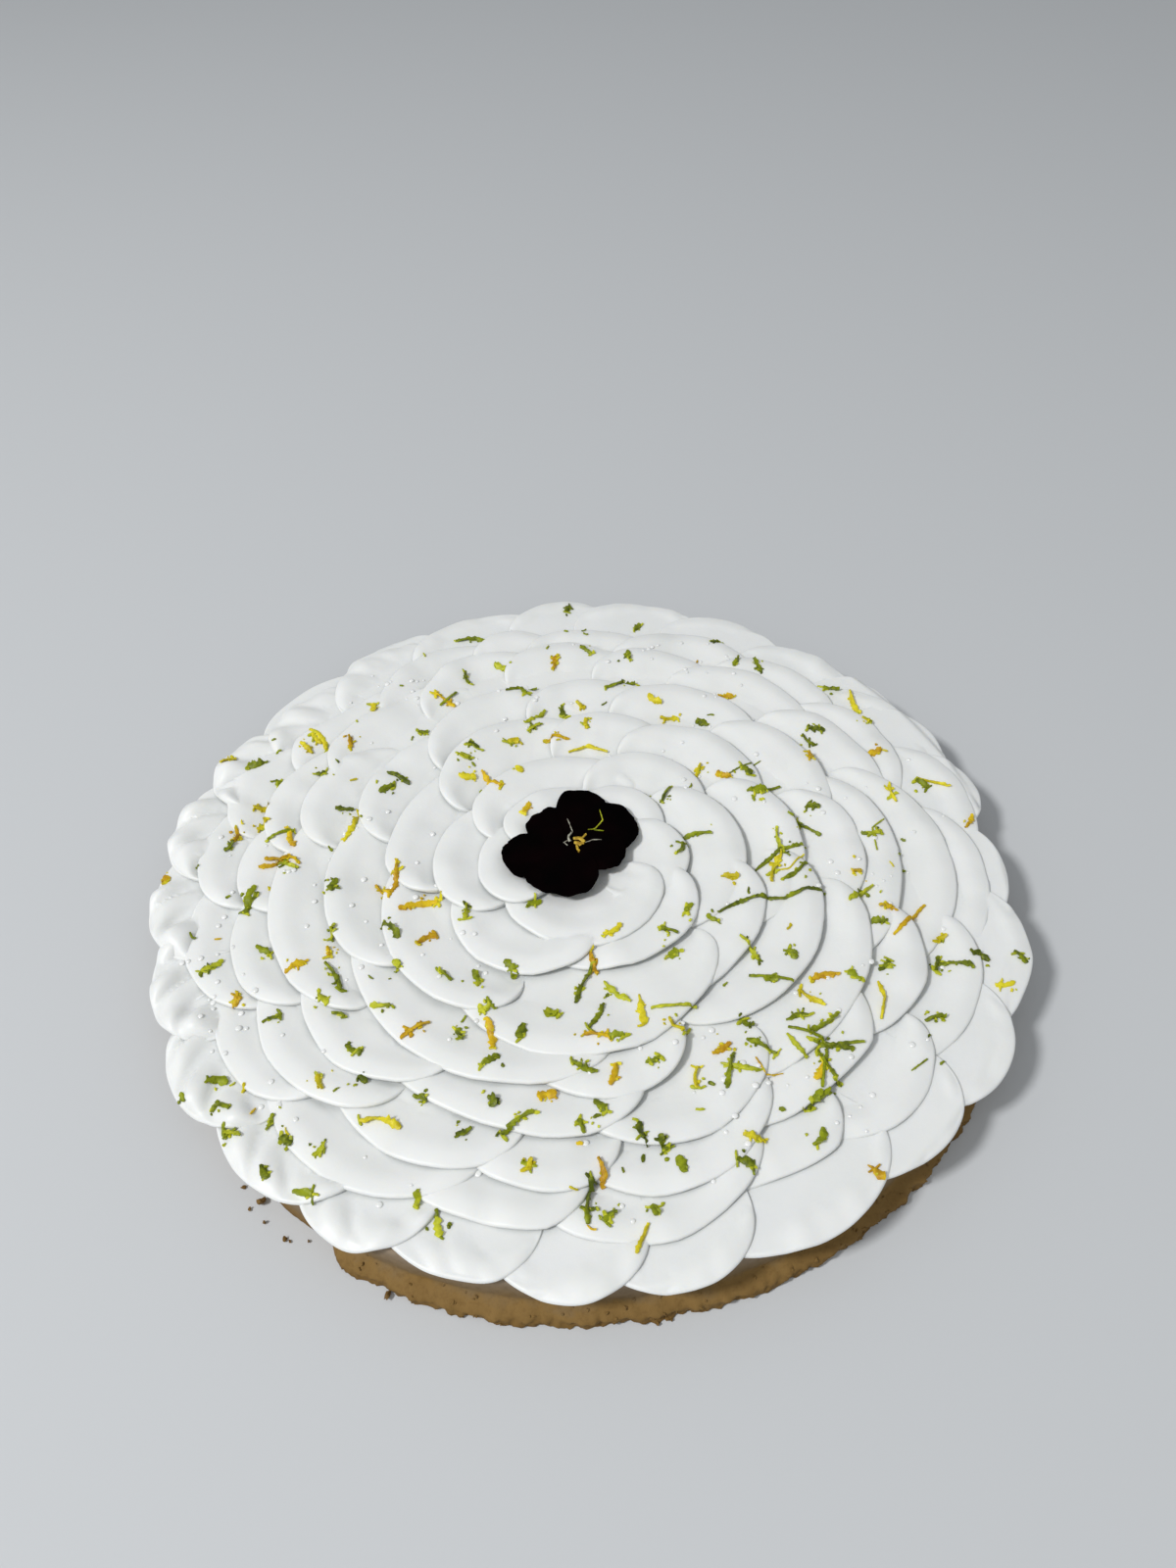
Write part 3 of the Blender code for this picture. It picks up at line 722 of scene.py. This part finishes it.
def relief(arc, depth, number):
    """Fine relief of a petal: its rounded lip, streaks where it was dragged inwards, bulges and a ridge."""
    drag = noise.noise((arc / DRAG_ACROSS, depth / DRAG_ALONG, DRAG_STRIDE * number))
    bulge = noise.noise((arc / BULGE_SIZE + BULGE_START, depth / BULGE_SIZE, BULGE_STRIDE * number))
    ridge_place = RIDGE_SPREAD * math.sin(RIDGE_PLACE_STRIDE * number)
    ridge_lean = RIDGE_LEAN * math.cos(RIDGE_LEAN_STRIDE * number)
    off_ridge = (arc - ridge_place - ridge_lean * depth) / RIDGE_WIDTH
    ridge = math.sin(RIDGE_HEIGHT_STRIDE * number) * math.exp(-off_ridge ** 2 - (depth / RIDGE_DEPTH) ** 2)
    roll = max(1.0 - depth / ROLL_DEPTH, 0.0) ** 2
    height = CROWN_LIFT + DRAG_RELIEF * drag + BULGE_RELIEF * bulge + RIDGE_HEIGHT * ridge
    return height - LIP_ROLL * roll


def petal_sides(petal):
    """Width of a petal along its arc, and where its lower and its higher side end."""
    start, end, reach = petal[:3]
    width = math.radians(end - start) * reach
    return width, -(0.5 + UNDER_SHARE) * width - UNDER_LEAST, (0.5 + OVER_SHARE) * width + OVER_LEAST


def petal_edge(petal, arc):
    """Reach of the row's line and of the petal's own arched edge at a place along its arc."""
    reach, seam_low, seam_high = petal[2:]
    width, low_side, high_side = petal_sides(petal)
    across = 2.0 * arc / width
    line = reach + (0.5 * (seam_high - seam_low)) * across
    line += (0.5 * (seam_high + seam_low) - reach) * min(across * across, 1.0)
    peak = 0.5 * PEAK * width
    off_peak = (arc - peak) / ((high_side if arc > peak else low_side) - peak)
    curl_depth = min(CURL_DEPTH, CURL_LIMIT * reach)
    return line, line - curl_depth * (1.0 - math.sqrt(max(1.0 - off_peak ** 2, 0.0)))


def build_petal(petal, drop, is_outer, number, collection):
    """One closed sheet of cream with a rounded lip, its higher side curling over the next petal."""
    start, end, reach = petal[:3]
    middle = 0.5 * (start + end)
    width, low_side, high_side = petal_sides(petal)
    base_radius = max(reach - SHEET_DEPTH, SHEET_ROOT * reach)
    overhang = max(reach - CRUST_RADIUS, 0.0)
    round_radius = 0.5 * LIP
    last_column = (OUTER_COLUMNS if is_outer else PETAL_COLUMNS) - 1
    bm = bmesh.new()
    columns = []
    for index in range(last_column + 1):
        station = math.sin(0.5 * math.pi * (2.0 * index / last_column - 1.0))
        arc = low_side + (high_side - low_side) * 0.5 * (station + 1.0)
        across = 2.0 * arc / width
        azimuth = middle + math.degrees(arc / reach)
        line, edge = petal_edge(petal, arc)
        ripple = noise.noise((arc / LIP_RIPPLE_SIZE, RIPPLE_STRIDE * number, 1.0))
        edge = max(edge + LIP_RIPPLE * (ripple - RIPPLE_SHIFT), base_radius + SHEET_LEAST)
        lip_height = dome(line) - drop + TILT * min(max(across, -TILT_LIMIT), TILT_LIMIT)
        span = edge - base_radius

        def surface(depth):
            radius = edge - depth
            below_lip = line - radius
            inwards = depth + FLANK * (line - edge)
            height = lip_height - HOLLOW * smoothstep((inwards - HOLLOW_START) / HOLLOW_DEPTH)
            height -= SINK_SLOPE * max(below_lip - SINK_START, 0.0)
            height += relief(arc, depth, number)
            if is_outer:
                height += fold(azimuth, across, depth) + swells(azimuth, arc, depth, number)
            fall = RIM_FALL * smoothstep((radius - CRUST_RADIUS - RIM_LAND) / RIM_SLOPE)
            return max(height, SURFACE_FLOOR + FLOOR_TILT * across - fall)

        section = []

        def add_point(depth, height):
            share = depth / span
            turn = middle + (azimuth - middle) * (1.0 - (1.0 - SHEET_TAPER) * share)
            section.append(bm.verts.new(polar(edge - depth, turn, height)))

        for step in range(TOP_STEPS, -1, -1):
            depth = round_radius + (span - round_radius) * (step / TOP_STEPS) ** TOP_SPACING
            add_point(depth, surface(depth))
        lip_top = surface(round_radius)
        for step in range(1, LIP_STEPS):
            angle = math.pi * step / LIP_STEPS
            depth = round_radius * (1.0 - math.sin(angle))
            add_point(depth, lip_top - round_radius * (1.0 - math.cos(angle)))
        for share in BOTTOM_SHARES:
            depth = round_radius + (span - round_radius) * share
            thickness = LIP + (BODY - LIP) * smoothstep((depth - overhang) / BODY_DEPTH)
            add_point(depth, surface(depth) - thickness)
        columns.append(section)
    skin_tube(bm, columns)
    bmesh.ops.triangulate(bm, faces=bm.faces)
    add_object("petal", bm, collection)


def build_core():
    """The body of cream below the petals."""
    bm = bmesh.new()
    radii = [CORE_RADIUS * share for share in CORE_RINGS]
    columns = []
    for side in range(CORE_SIDES):
        azimuth = 360.0 * side / CORE_SIDES
        column = [bm.verts.new(polar(CORE_RADIUS, azimuth, CORE_BOTTOM))]
        column += [bm.verts.new(polar(radius, azimuth, dome(radius) - CORE_DROP)) for radius in radii]
        columns.append(column)
    skin_ring(bm, columns)
    bmesh.ops.triangulate(bm, faces=bm.faces)
    return add_object("cream_petals", bm)


def build_room():
    """The space that the cream leaves for the shell."""
    bm = bmesh.new()
    height = CRUST_HEIGHT + GAP
    radius = CRUST_RADIUS + GAP
    matrix = Matrix.Translation((0.0, 0.0, 0.5 * height))
    bmesh.ops.create_cone(bm, cap_ends=True, segments=2 * CORE_SIDES, radius1=radius, radius2=radius,
                          depth=height, matrix=matrix)
    return add_object("room", bm)


def largest_shell(bm):
    """The vertices of the largest connected piece."""
    unseen = set(bm.verts)
    largest = set()
    while unseen:
        stack = [unseen.pop()]
        shell = set()
        while stack:
            vert = stack.pop()
            shell.add(vert)
            others = unseen.intersection(edge.other_vert(vert) for edge in vert.link_edges)
            unseen -= others
            stack.extend(others)
        largest = max(largest, shell, key=len)
    return largest


def fuse(obj, collection, cutter):
    """Joins a collection's objects to an object, cuts the room for the shell, and drops loose scraps."""
    union = obj.modifiers.new("Fuse", "BOOLEAN")
    union.operation = "UNION"
    union.operand_type = "COLLECTION"
    union.collection = collection
    union.solver = "MANIFOLD"
    cut = obj.modifiers.new("Room for the shell", "BOOLEAN")
    cut.operation = "DIFFERENCE"
    cut.object = cutter
    cut.solver = "MANIFOLD"
    evaluated = obj.evaluated_get(bpy.context.evaluated_depsgraph_get())
    fused = bpy.data.meshes.new_from_object(evaluated)
    obj.modifiers.clear()
    obj.data = fused
    for other in list(collection.objects) + [cutter]:
        bpy.data.objects.remove(other, do_unlink=True)
    bpy.data.collections.remove(collection)
    bm = bmesh.new()
    bm.from_mesh(fused)
    largest = largest_shell(bm)
    bmesh.ops.delete(bm, geom=[v for v in bm.verts if v not in largest], context="VERTS")
    bmesh.ops.triangulate(bm, faces=bm.faces)
    bm.to_mesh(fused)
    bm.free()


def add_cream():
    core = build_core()
    petals = bpy.data.collections.new("petals")
    bpy.context.scene.collection.children.link(petals)
    number = 0
    for row_index, row in enumerate(ROWS):
        drop = OUTER_ROW_DROP if row_index == 0 else 0.0
        for petal in row_petals(row):
            number += 1
            build_petal(petal, drop, row_index < OUTER_ROWS, number, petals)
    fuse(core, petals, build_room())
    finish_piece(core, cream_material(), "cream", "cream", sharp_degrees=40.0)
    return core


# Things that lie on the cream

def surface_tree(*objects):
    """The surfaces of several objects as one tree to drop things on."""
    points = []
    faces = []
    for obj in objects:
        offset = len(points)
        points.extend(v.co.copy() for v in obj.data.vertices)
        faces.extend([offset + i for i in p.vertices] for p in obj.data.polygons)
    return BVHTree.FromPolygons(points, faces)


def drop_on(tree, x, y):
    """Height and normal of the surface below a place."""
    point, normal, _, _ = tree.ray_cast(Vector((x, y, 1.0)), Vector((0.0, 0.0, -1.0)))
    if point is None:
        return None, None
    return point.z, normal


def seen_at(tree, pixel):
    """Where on the surface a pixel of the photograph lies, from above."""
    point = tree.ray_cast(CAMERA_PLACE, photo_ray(*pixel))[0]
    return point.x, point.y


def strew(x, y, spread, rng):
    """A random place round another one."""
    return x + rng.gauss(0.0, spread), y + rng.gauss(0.0, spread)


def zest_places(rng):
    """Where the larger strips lie, from above, with the share of green ones there."""
    places = []
    for (azimuth, radius, number), green in zip(ZEST_BUNCHES, BUNCH_GREENS):
        x, y, _ = polar(radius * MM, azimuth, 0.0)
        for _ in range(number):
            places.append((*strew(x, y, BUNCH_SPREAD, rng), green))
    golden = math.pi * (3.0 - math.sqrt(5.0))
    for index in range(ZEST_SPRINKLED):
        share = (index + 0.5) / ZEST_SPRINKLED
        radius = math.sqrt(ZEST_INNER ** 2 + share * (ZEST_OUTER ** 2 - ZEST_INNER ** 2))
        angle = golden * index + rng.uniform(-SPRINKLE_JITTER, SPRINKLE_JITTER)
        places.append((radius * math.cos(angle), radius * math.sin(angle), SPRINKLED_GREENS))
    return places


def zest_path(place, rng):
    """A bent path that is centred on its place."""
    heading = rng.uniform(0.0, math.pi)
    step = rng.uniform(*ZEST_LENGTH) / (ZEST_STATIONS - 1)
    bend = rng.uniform(-ZEST_BEND, ZEST_BEND)
    half = 0.5 * step * (ZEST_STATIONS - 1)
    x = place[0] - half * math.cos(heading + 0.5 * bend)
    y = place[1] - half * math.sin(heading + 0.5 * bend)
    path = [(x, y)]
    for _ in range(ZEST_STATIONS - 1):
        x += step * math.cos(heading)
        y += step * math.sin(heading)
        heading += bend / (ZEST_STATIONS - 1)
        path.append((x, y))
    return path


def resample(path, step):
    """Points along a path at a steady step."""
    points = [Vector(place) for place in path]
    lengths = [0.0]
    for a, b in zip(points, points[1:]):
        lengths.append(lengths[-1] + (b - a).length)
    count = max(SHRED_LEAST_STEPS, round(lengths[-1] / step))
    result = []
    for i in range(count + 1):
        target = lengths[-1] * i / count
        k = max(j for j in range(len(points) - 1) if lengths[j] <= target)
        share = (target - lengths[k]) / (lengths[k + 1] - lengths[k])
        result.append(points[k].lerp(points[k + 1], share))
    return result


def add_shred(bm, tree, path, width, rng, thickness=ZEST_THICKNESS):
    """A ragged shred of rind along a path, rolled about its length, its ends rising a little."""
    places = resample(path, SHRED_STEP)
    key = rng.uniform(0.0, 100.0)
    roll = rng.uniform(-SHRED_ROLL, SHRED_ROLL)
    twist = rng.uniform(-SHRED_TWIST, SHRED_TWIST)
    rise = rng.uniform(0.0, SHRED_RISE) * thickness
    columns = []
    last = len(places) - 1
    for i, place in enumerate(places):
        ground, normal = drop_on(tree, place.x, place.y)
        if ground is None:
            return
        ahead = places[min(i + 1, last)] - places[max(i - 1, 0)]
        along = Vector((ahead.x, ahead.y, 0.0)).normalized()
        across = normal.cross(along).normalized()
        up = along.cross(across).normalized()
        if up.z < 0.0:
            up.negate()
        ragged = 1.0 + SHRED_RAGGED * noise.noise((RAGGED_STRIDE * i, key, 0.0))
        from_tip = math.sin(math.pi * (i + TIP_BLUNT) / (last + 2.0 * TIP_BLUNT))
        half = 0.5 * width * ragged * min(1.0, TIP_WIDTH + TIP_SLOPE * from_tip)
        angle = roll + twist * i
        side = across * math.cos(angle) + up * math.sin(angle)
        face = up * math.cos(angle) - across * math.sin(angle)
        stand = SHRED_STAND * thickness + rise * (2.0 * i / last - 1.0) ** 2
        stand += 0.5 * abs(math.sin(angle)) * half
        middle = Vector((place.x, place.y, ground)) + up * stand
        shift = SHRED_SHIFT * width * noise.noise((SHIFT_STRIDE * i, key, SHIFT_LAYER))
        column = []
        for k in range(SHRED_SIDES):
            turn = 2.0 * math.pi * k / SHRED_SIDES
            rough = 1.0 + SHRED_ROUGH * noise.noise((ROUGH_STRIDES[0] * i, ROUGH_STRIDES[1] * k, key))
            offset = side * (half * math.cos(turn) * rough + shift)
            offset += face * (0.5 * thickness * math.sin(turn) * rough)
            column.append(bm.verts.new(middle + offset))
        columns.append(column)
    skin_tube(bm, columns)


def short_path(x, y, length, rng):
    """A short path with a random heading and bend, centred on a place."""
    heading = rng.uniform(0.0, 2.0 * math.pi)
    bend = rng.uniform(-SHORT_PATH_BEND, SHORT_PATH_BEND)
    step = length / SHORT_PATH_STEPS
    path = [(0.0, 0.0)]
    for _ in range(SHORT_PATH_STEPS):
        px, py = path[-1]
        path.append((px + step * math.cos(heading), py + step * math.sin(heading)))
        heading += bend / SHORT_PATH_STEPS
    mid_x, mid_y = path[SHORT_PATH_STEPS // 2]
    return [(x + px - mid_x, y + py - mid_y) for px, py in path]


def place_on_cream(rng, least, most):
    """A random place between two shares of the area with zest."""
    radius = math.sqrt(rng.uniform(least, most)) * ZEST_OUTER
    return polar(radius, rng.uniform(0.0, 360.0), 0.0)[:2]


def add_lump(bm, middle, size, rough, rng):
    """A small rough ball, turned at random."""
    made = bmesh.ops.create_icosphere(bm, subdivisions=2, radius=1.0)
    key = rng.uniform(0.0, 100.0)
    turn = Euler([rng.uniform(0.0, math.pi) for _ in range(3)]).to_matrix()
    form = Vector((LUMP_LENGTH, 1.0, LUMP_FLATNESS))
    for vert in made["verts"]:
        swell = 1.0 + rough * noise.noise(LUMP_BUMPS * vert.co + Vector((key, 0.0, 0.0)))
        vert.co = turn @ (vert.co * form) * (size * swell) + middle


def add_grains(meshes, tree, x, y, kind, rng):
    """Grains of rind round a place."""
    for _ in range(rng.randint(*GRAINS_ROUND_CLUMP)):
        grain_x, grain_y = strew(x, y, GRAIN_SPREAD, rng)
        ground, _ = drop_on(tree, grain_x, grain_y)
        size = rng.uniform(*ZEST_GRAIN)
        bm = meshes[rng.choice(ZEST_KINDS[kind][3])]
        if ground is not None:
            add_lump(bm, Vector((grain_x, grain_y, ground + LUMP_STAND * size)), size, ZEST_GRAIN_ROUGH, rng)


def add_clump(meshes, tree, path, width, kind, rng):
    """A clump of rind: one shred along the path, others that branch off it, and grains round them."""
    add_shred(meshes[kind], tree, path, width, rng)
    for _ in range(rng.choice(CLUMP_BRANCHES)):
        x, y = path[rng.randrange(len(path))]
        branch = short_path(x, y, rng.uniform(*SIDE_LENGTH), rng)
        bm = meshes[rng.choice(ZEST_KINDS[kind][3])]
        add_shred(bm, tree, branch, rng.uniform(*SIDE_WIDTH), rng, SIDE_THICKNESS)
    add_grains(meshes, tree, *path[len(path) // 2], kind, rng)


def pick_kind(green, rng):
    """A kind of zest, given the share of green ones."""
    return rng.choice(GREEN_KINDS if rng.random() < green else YELLOW_KINDS)


def add_zest(tree):
    """Citrus zest: the solids' large strips, smaller clumps, long strokes, and flecks between."""
    rng = random.Random(SEED)
    fine = random.Random(SEED + 1)
    meshes = {kind: bmesh.new() for kind in ZEST_KINDS}
    taken = []
    for place in zest_places(rng):
        path = zest_path(place, rng)
        width = rng.uniform(*ZEST_WIDTH)
        add_clump(meshes, tree, path, width, pick_kind(place[2], fine), fine)
        taken.append(Vector(path[len(path) // 2]))
    strand = [polar(radius * MM, azimuth, 0.0)[:2] for azimuth, radius in STRAND]
    add_shred(meshes["green"], tree, strand, STRAND_WIDTH, fine)
    for kind, pixels in CLUMP_PIXELS.items():
        for pixel in pixels:
            place = Vector(seen_at(tree, pixel))
            if min((place - other).length for other in taken) > CLUMP_CLEAR:
                path = short_path(*place, fine.uniform(*CLUMP_LENGTH), fine)
                add_clump(meshes, tree, path, fine.uniform(*CLUMP_WIDTH), kind, fine)
    for kind, width, pixels in ZEST_STROKES:
        path = [seen_at(tree, pixel) for pixel in pixels]
        add_shred(meshes[kind], tree, path, width, fine, min(width, ZEST_THICKNESS))
    for _ in range(FLECKS):
        place = place_on_cream(fine, (ZEST_INNER / ZEST_OUTER) ** 2, 1.0)
        path = short_path(*place, fine.uniform(*FLECK_LENGTH), fine)
        kind = pick_kind(SPRINKLED_GREENS, fine)
        add_shred(meshes[kind], tree, path, fine.uniform(*FLECK_WIDTH), fine, SIDE_THICKNESS)
    for kind, bm in meshes.items():
        finish_piece(add_object("zest_" + kind, bm), zest_material(kind), ZEST_KINDS[kind][2])


def add_droplets(tree):
    """Tiny droplets on the cream, single or in groups."""
    rng = random.Random(SEED + 2)
    places = [seen_at(tree, pixel) for pixel in DROPLET_PIXELS]
    for _ in range(DROPLET_GROUPS):
        x, y = place_on_cream(rng, *DROPLET_GROUP_AREA)
        places += [strew(x, y, DROPLET_SPREAD, rng) for _ in range(rng.randint(*DROPLET_GROUP_SIZE))]
    places += [place_on_cream(rng, *DROPLET_AREA) for _ in range(DROPLETS)]
    bm = bmesh.new()
    for x, y in places:
        ground, _ = drop_on(tree, x, y)
        size = rng.uniform(*DROPLET_SIZE)
        matrix = Matrix.Translation((x, y, ground + DROPLET_STAND * size))
        matrix @= Matrix.Diagonal((1.0, 1.0, DROPLET_FLATNESS, 1.0))
        bmesh.ops.create_icosphere(bm, subdivisions=2, radius=size, matrix=matrix)
    finish_piece(add_object("droplets", bm), droplet_material(), "cream", sharp_degrees=60.0)


# Viola

def lobe_reach(azimuth, lobes):
    """How far a petal of the flower reaches at an azimuth."""
    reach = VIOLA_LEAST
    for middle, half, tip in lobes:
        away = abs(turn_between(azimuth, middle)) / (LOBE_SPREAD * half)
        if away < 1.0:
            reach = max(reach, tip * (1.0 - away ** LOBE_BLUNT) ** LOBE_ROUND)
    return reach


def viola_height(radius, azimuth):
    """Underside of the flower, with the waves of its solid."""
    share = radius / VIOLA_REACH
    ripple = math.sin(math.radians(VIOLA_WAVES * azimuth) + VIOLA_TWIST * share)
    return VIOLA_LIFT + VIOLA_WAVE * share * (0.5 + 0.5 * ripple)


def build_viola_petal(bm, tree, lobes, layer):
    """One thin petal as a closed sheet with a ragged, ruffled edge and fine veins."""
    centre_x, centre_y = VIOLA_CENTRE
    first = min(middle - LOBE_SPREAD * half for middle, half, _ in lobes)
    last = max(middle + LOBE_SPREAD * half for middle, half, _ in lobes)
    columns = []
    for index in range(VIOLA_COLUMNS):
        share = index / (VIOLA_COLUMNS - 1)
        azimuth = first + (last - first) * 0.5 * (1.0 - math.cos(math.pi * share))
        reach = lobe_reach(azimuth, lobes)
        arc = math.radians(azimuth) * reach
        reach += VIOLA_RAGGED * noise.noise((arc / VIOLA_RAGGED_SIZE, VIOLA_RAGGED_STRIDE * layer, 0.0))
        top = []
        bottom = []
        for ring in range(VIOLA_RINGS):
            out = VIOLA_INNER + (1.0 - VIOLA_INNER) * ring / (VIOLA_RINGS - 1)
            radius = reach * out
            x, y, _ = polar(radius, azimuth, 0.0)
            x += centre_x
            y += centre_y
            level = viola_height(radius, azimuth) + VIOLA_STEP * layer
            ruffle = math.sin(math.radians(VIOLA_RUFFLES * azimuth) + layer)
            level += VIOLA_RUFFLE * out ** RUFFLE_POWER * ruffle
            level += VIOLA_VEIN * out * math.cos(math.radians(VIOLA_VEINS * azimuth))
            ground, _ = drop_on(tree, x, y)
            level = max(level, ground + GAP)
            top.append(bm.verts.new((x, y, level + VIOLA_THICKNESS)))
            bottom.append(bm.verts.new((x, y, level)))
        columns.append(top + bottom[::-1])
    skin_tube(bm, columns)


def add_viola(cream):
    """The flower in its petals, with its yellow eye and pale hairs."""
    bm = bmesh.new()
    on_cream = surface_tree(cream)
    for layer, lobes in enumerate(VIOLA_PETALS):
        build_viola_petal(bm, on_cream, lobes, layer)
    viola = add_object("viola_petals", bm)
    finish_piece(viola, viola_material(), "flower", "viola", sharp_degrees=60.0)
    rng = random.Random(SEED + 4)
    on_viola = surface_tree(viola, cream)
    gold = strand_material("viola_gold", (0.35, 0.20, 0.012), (0.62, 0.42, 0.04))
    pale = strand_material("viola_pale", (0.30, 0.28, 0.22), (0.52, 0.52, 0.42))
    for name, strokes, material in (("viola_eye", EYE_STROKES, gold), ("viola_hairs", HAIR_STROKES, pale)):
        bm = bmesh.new()
        for width, pixels in strokes:
            path = [seen_at(on_viola, pixel) for pixel in pixels]
            add_shred(bm, on_viola, path, width, rng, min(width, ZEST_THICKNESS))
        finish_piece(add_object(name, bm), material, "flower")
    return viola


# Pastry shell and crumbs

def foot_share(azimuth):
    """How much of the shell's foot is left at an azimuth."""
    first, last = FOOT_BROKEN
    inside = min(azimuth - first, last - azimuth)
    return 1.0 - smoothstep(inside / FOOT_BREAK)


def crag(place, size):
    """Rough noise round a place, its largest lumps of the given size."""
    return noise.fractal(place / size, CRAG_DIMENSION, CRAG_LACUNARITY, CRAG_OCTAVES)


def shell_radius(azimuth, height):
    """Radius of the shell's outside: a smooth wall over a ragged ledge."""
    low = foot_share(azimuth) * (1.0 - smoothstep((height - LEDGE_HEIGHT) / (FOOT_HEIGHT - LEDGE_HEIGHT)))
    x, y, _ = polar(CRUST_RADIUS, azimuth, 0.0)
    place = Vector((x, y, height))
    crags = crag(place, FOOT_CRAG_SIZE)
    bites = crag(place, FOOT_BITE_SIZE)
    radius = CRUST_RADIUS + low * (FOOT_FLARE - FOOT_INSET + FOOT_CRAGS * crags + FOOT_BITES * bites)
    radius += (1.0 - low) * (WALL_WAVES * crags + WALL_GRAIN * bites - WALL_WAVES)
    below_rim = CRUST_HEIGHT - CRUST_RIM_ROUND
    return radius - CRUST_RIM_ROUND * smoothstep((height - below_rim) / CRUST_RIM_ROUND)


def rest_on_ground(bm):
    for vert in bm.verts:
        vert.co.z = max(vert.co.z, 0.0)


def add_shell(material):
    """The pastry shell, with loose grains on its ledge."""
    bm = bmesh.new()
    columns = []
    for side in range(SHELL_SIDES):
        azimuth = 360.0 * side / SHELL_SIDES
        column = []
        for level in range(SHELL_LEVELS):
            height = CRUST_HEIGHT * (level / (SHELL_LEVELS - 1)) ** LEVEL_SPACING
            column.append(bm.verts.new(polar(shell_radius(azimuth, height), azimuth, height)))
        columns.append(column)
    skin_ring(bm, columns)
    finish_piece(add_object("pastry_shell", bm), material, "pastry", "crust", sharp_degrees=60.0)
    rng = random.Random(SEED + 5)
    bm = bmesh.new()
    for _ in range(GRAINS):
        azimuth = rng.uniform(0.0, 360.0)
        height = rng.uniform(0.0, FOOT_HEIGHT)
        size = rng.uniform(*GRAIN_SIZE)
        if foot_share(azimuth) > 0.5:
            middle = Vector(polar(shell_radius(azimuth, height), azimuth, max(height, size)))
            add_lump(bm, middle, size, GRAIN_ROUGH, rng)
    rest_on_ground(bm)
    finish_piece(add_object("pastry_grains", bm), material, "pastry")


def add_crumbs(material):
    """Loose crumbs on the ground where the foot has broken away."""
    rng = random.Random(SEED + 3)
    bm = bmesh.new()
    for pixel, size in CRUMBS:
        ray = photo_ray(*pixel)
        middle = CAMERA_PLACE - ray * (CAMERA_PLACE.z / ray.z)
        middle.z = LUMP_STAND * size
        add_lump(bm, middle, 0.5 * size, CRUMB_ROUGH, rng)
    rest_on_ground(bm)
    finish_piece(add_object("crumbs", bm), material, "pastry")


def main():
    add_camera()
    add_floor()
    add_lights()
    cream = add_cream()
    tree = surface_tree(cream, add_viola(cream))
    add_zest(tree)
    add_droplets(tree)
    pastry = pastry_material()
    add_shell(pastry)
    add_crumbs(pastry)


main()
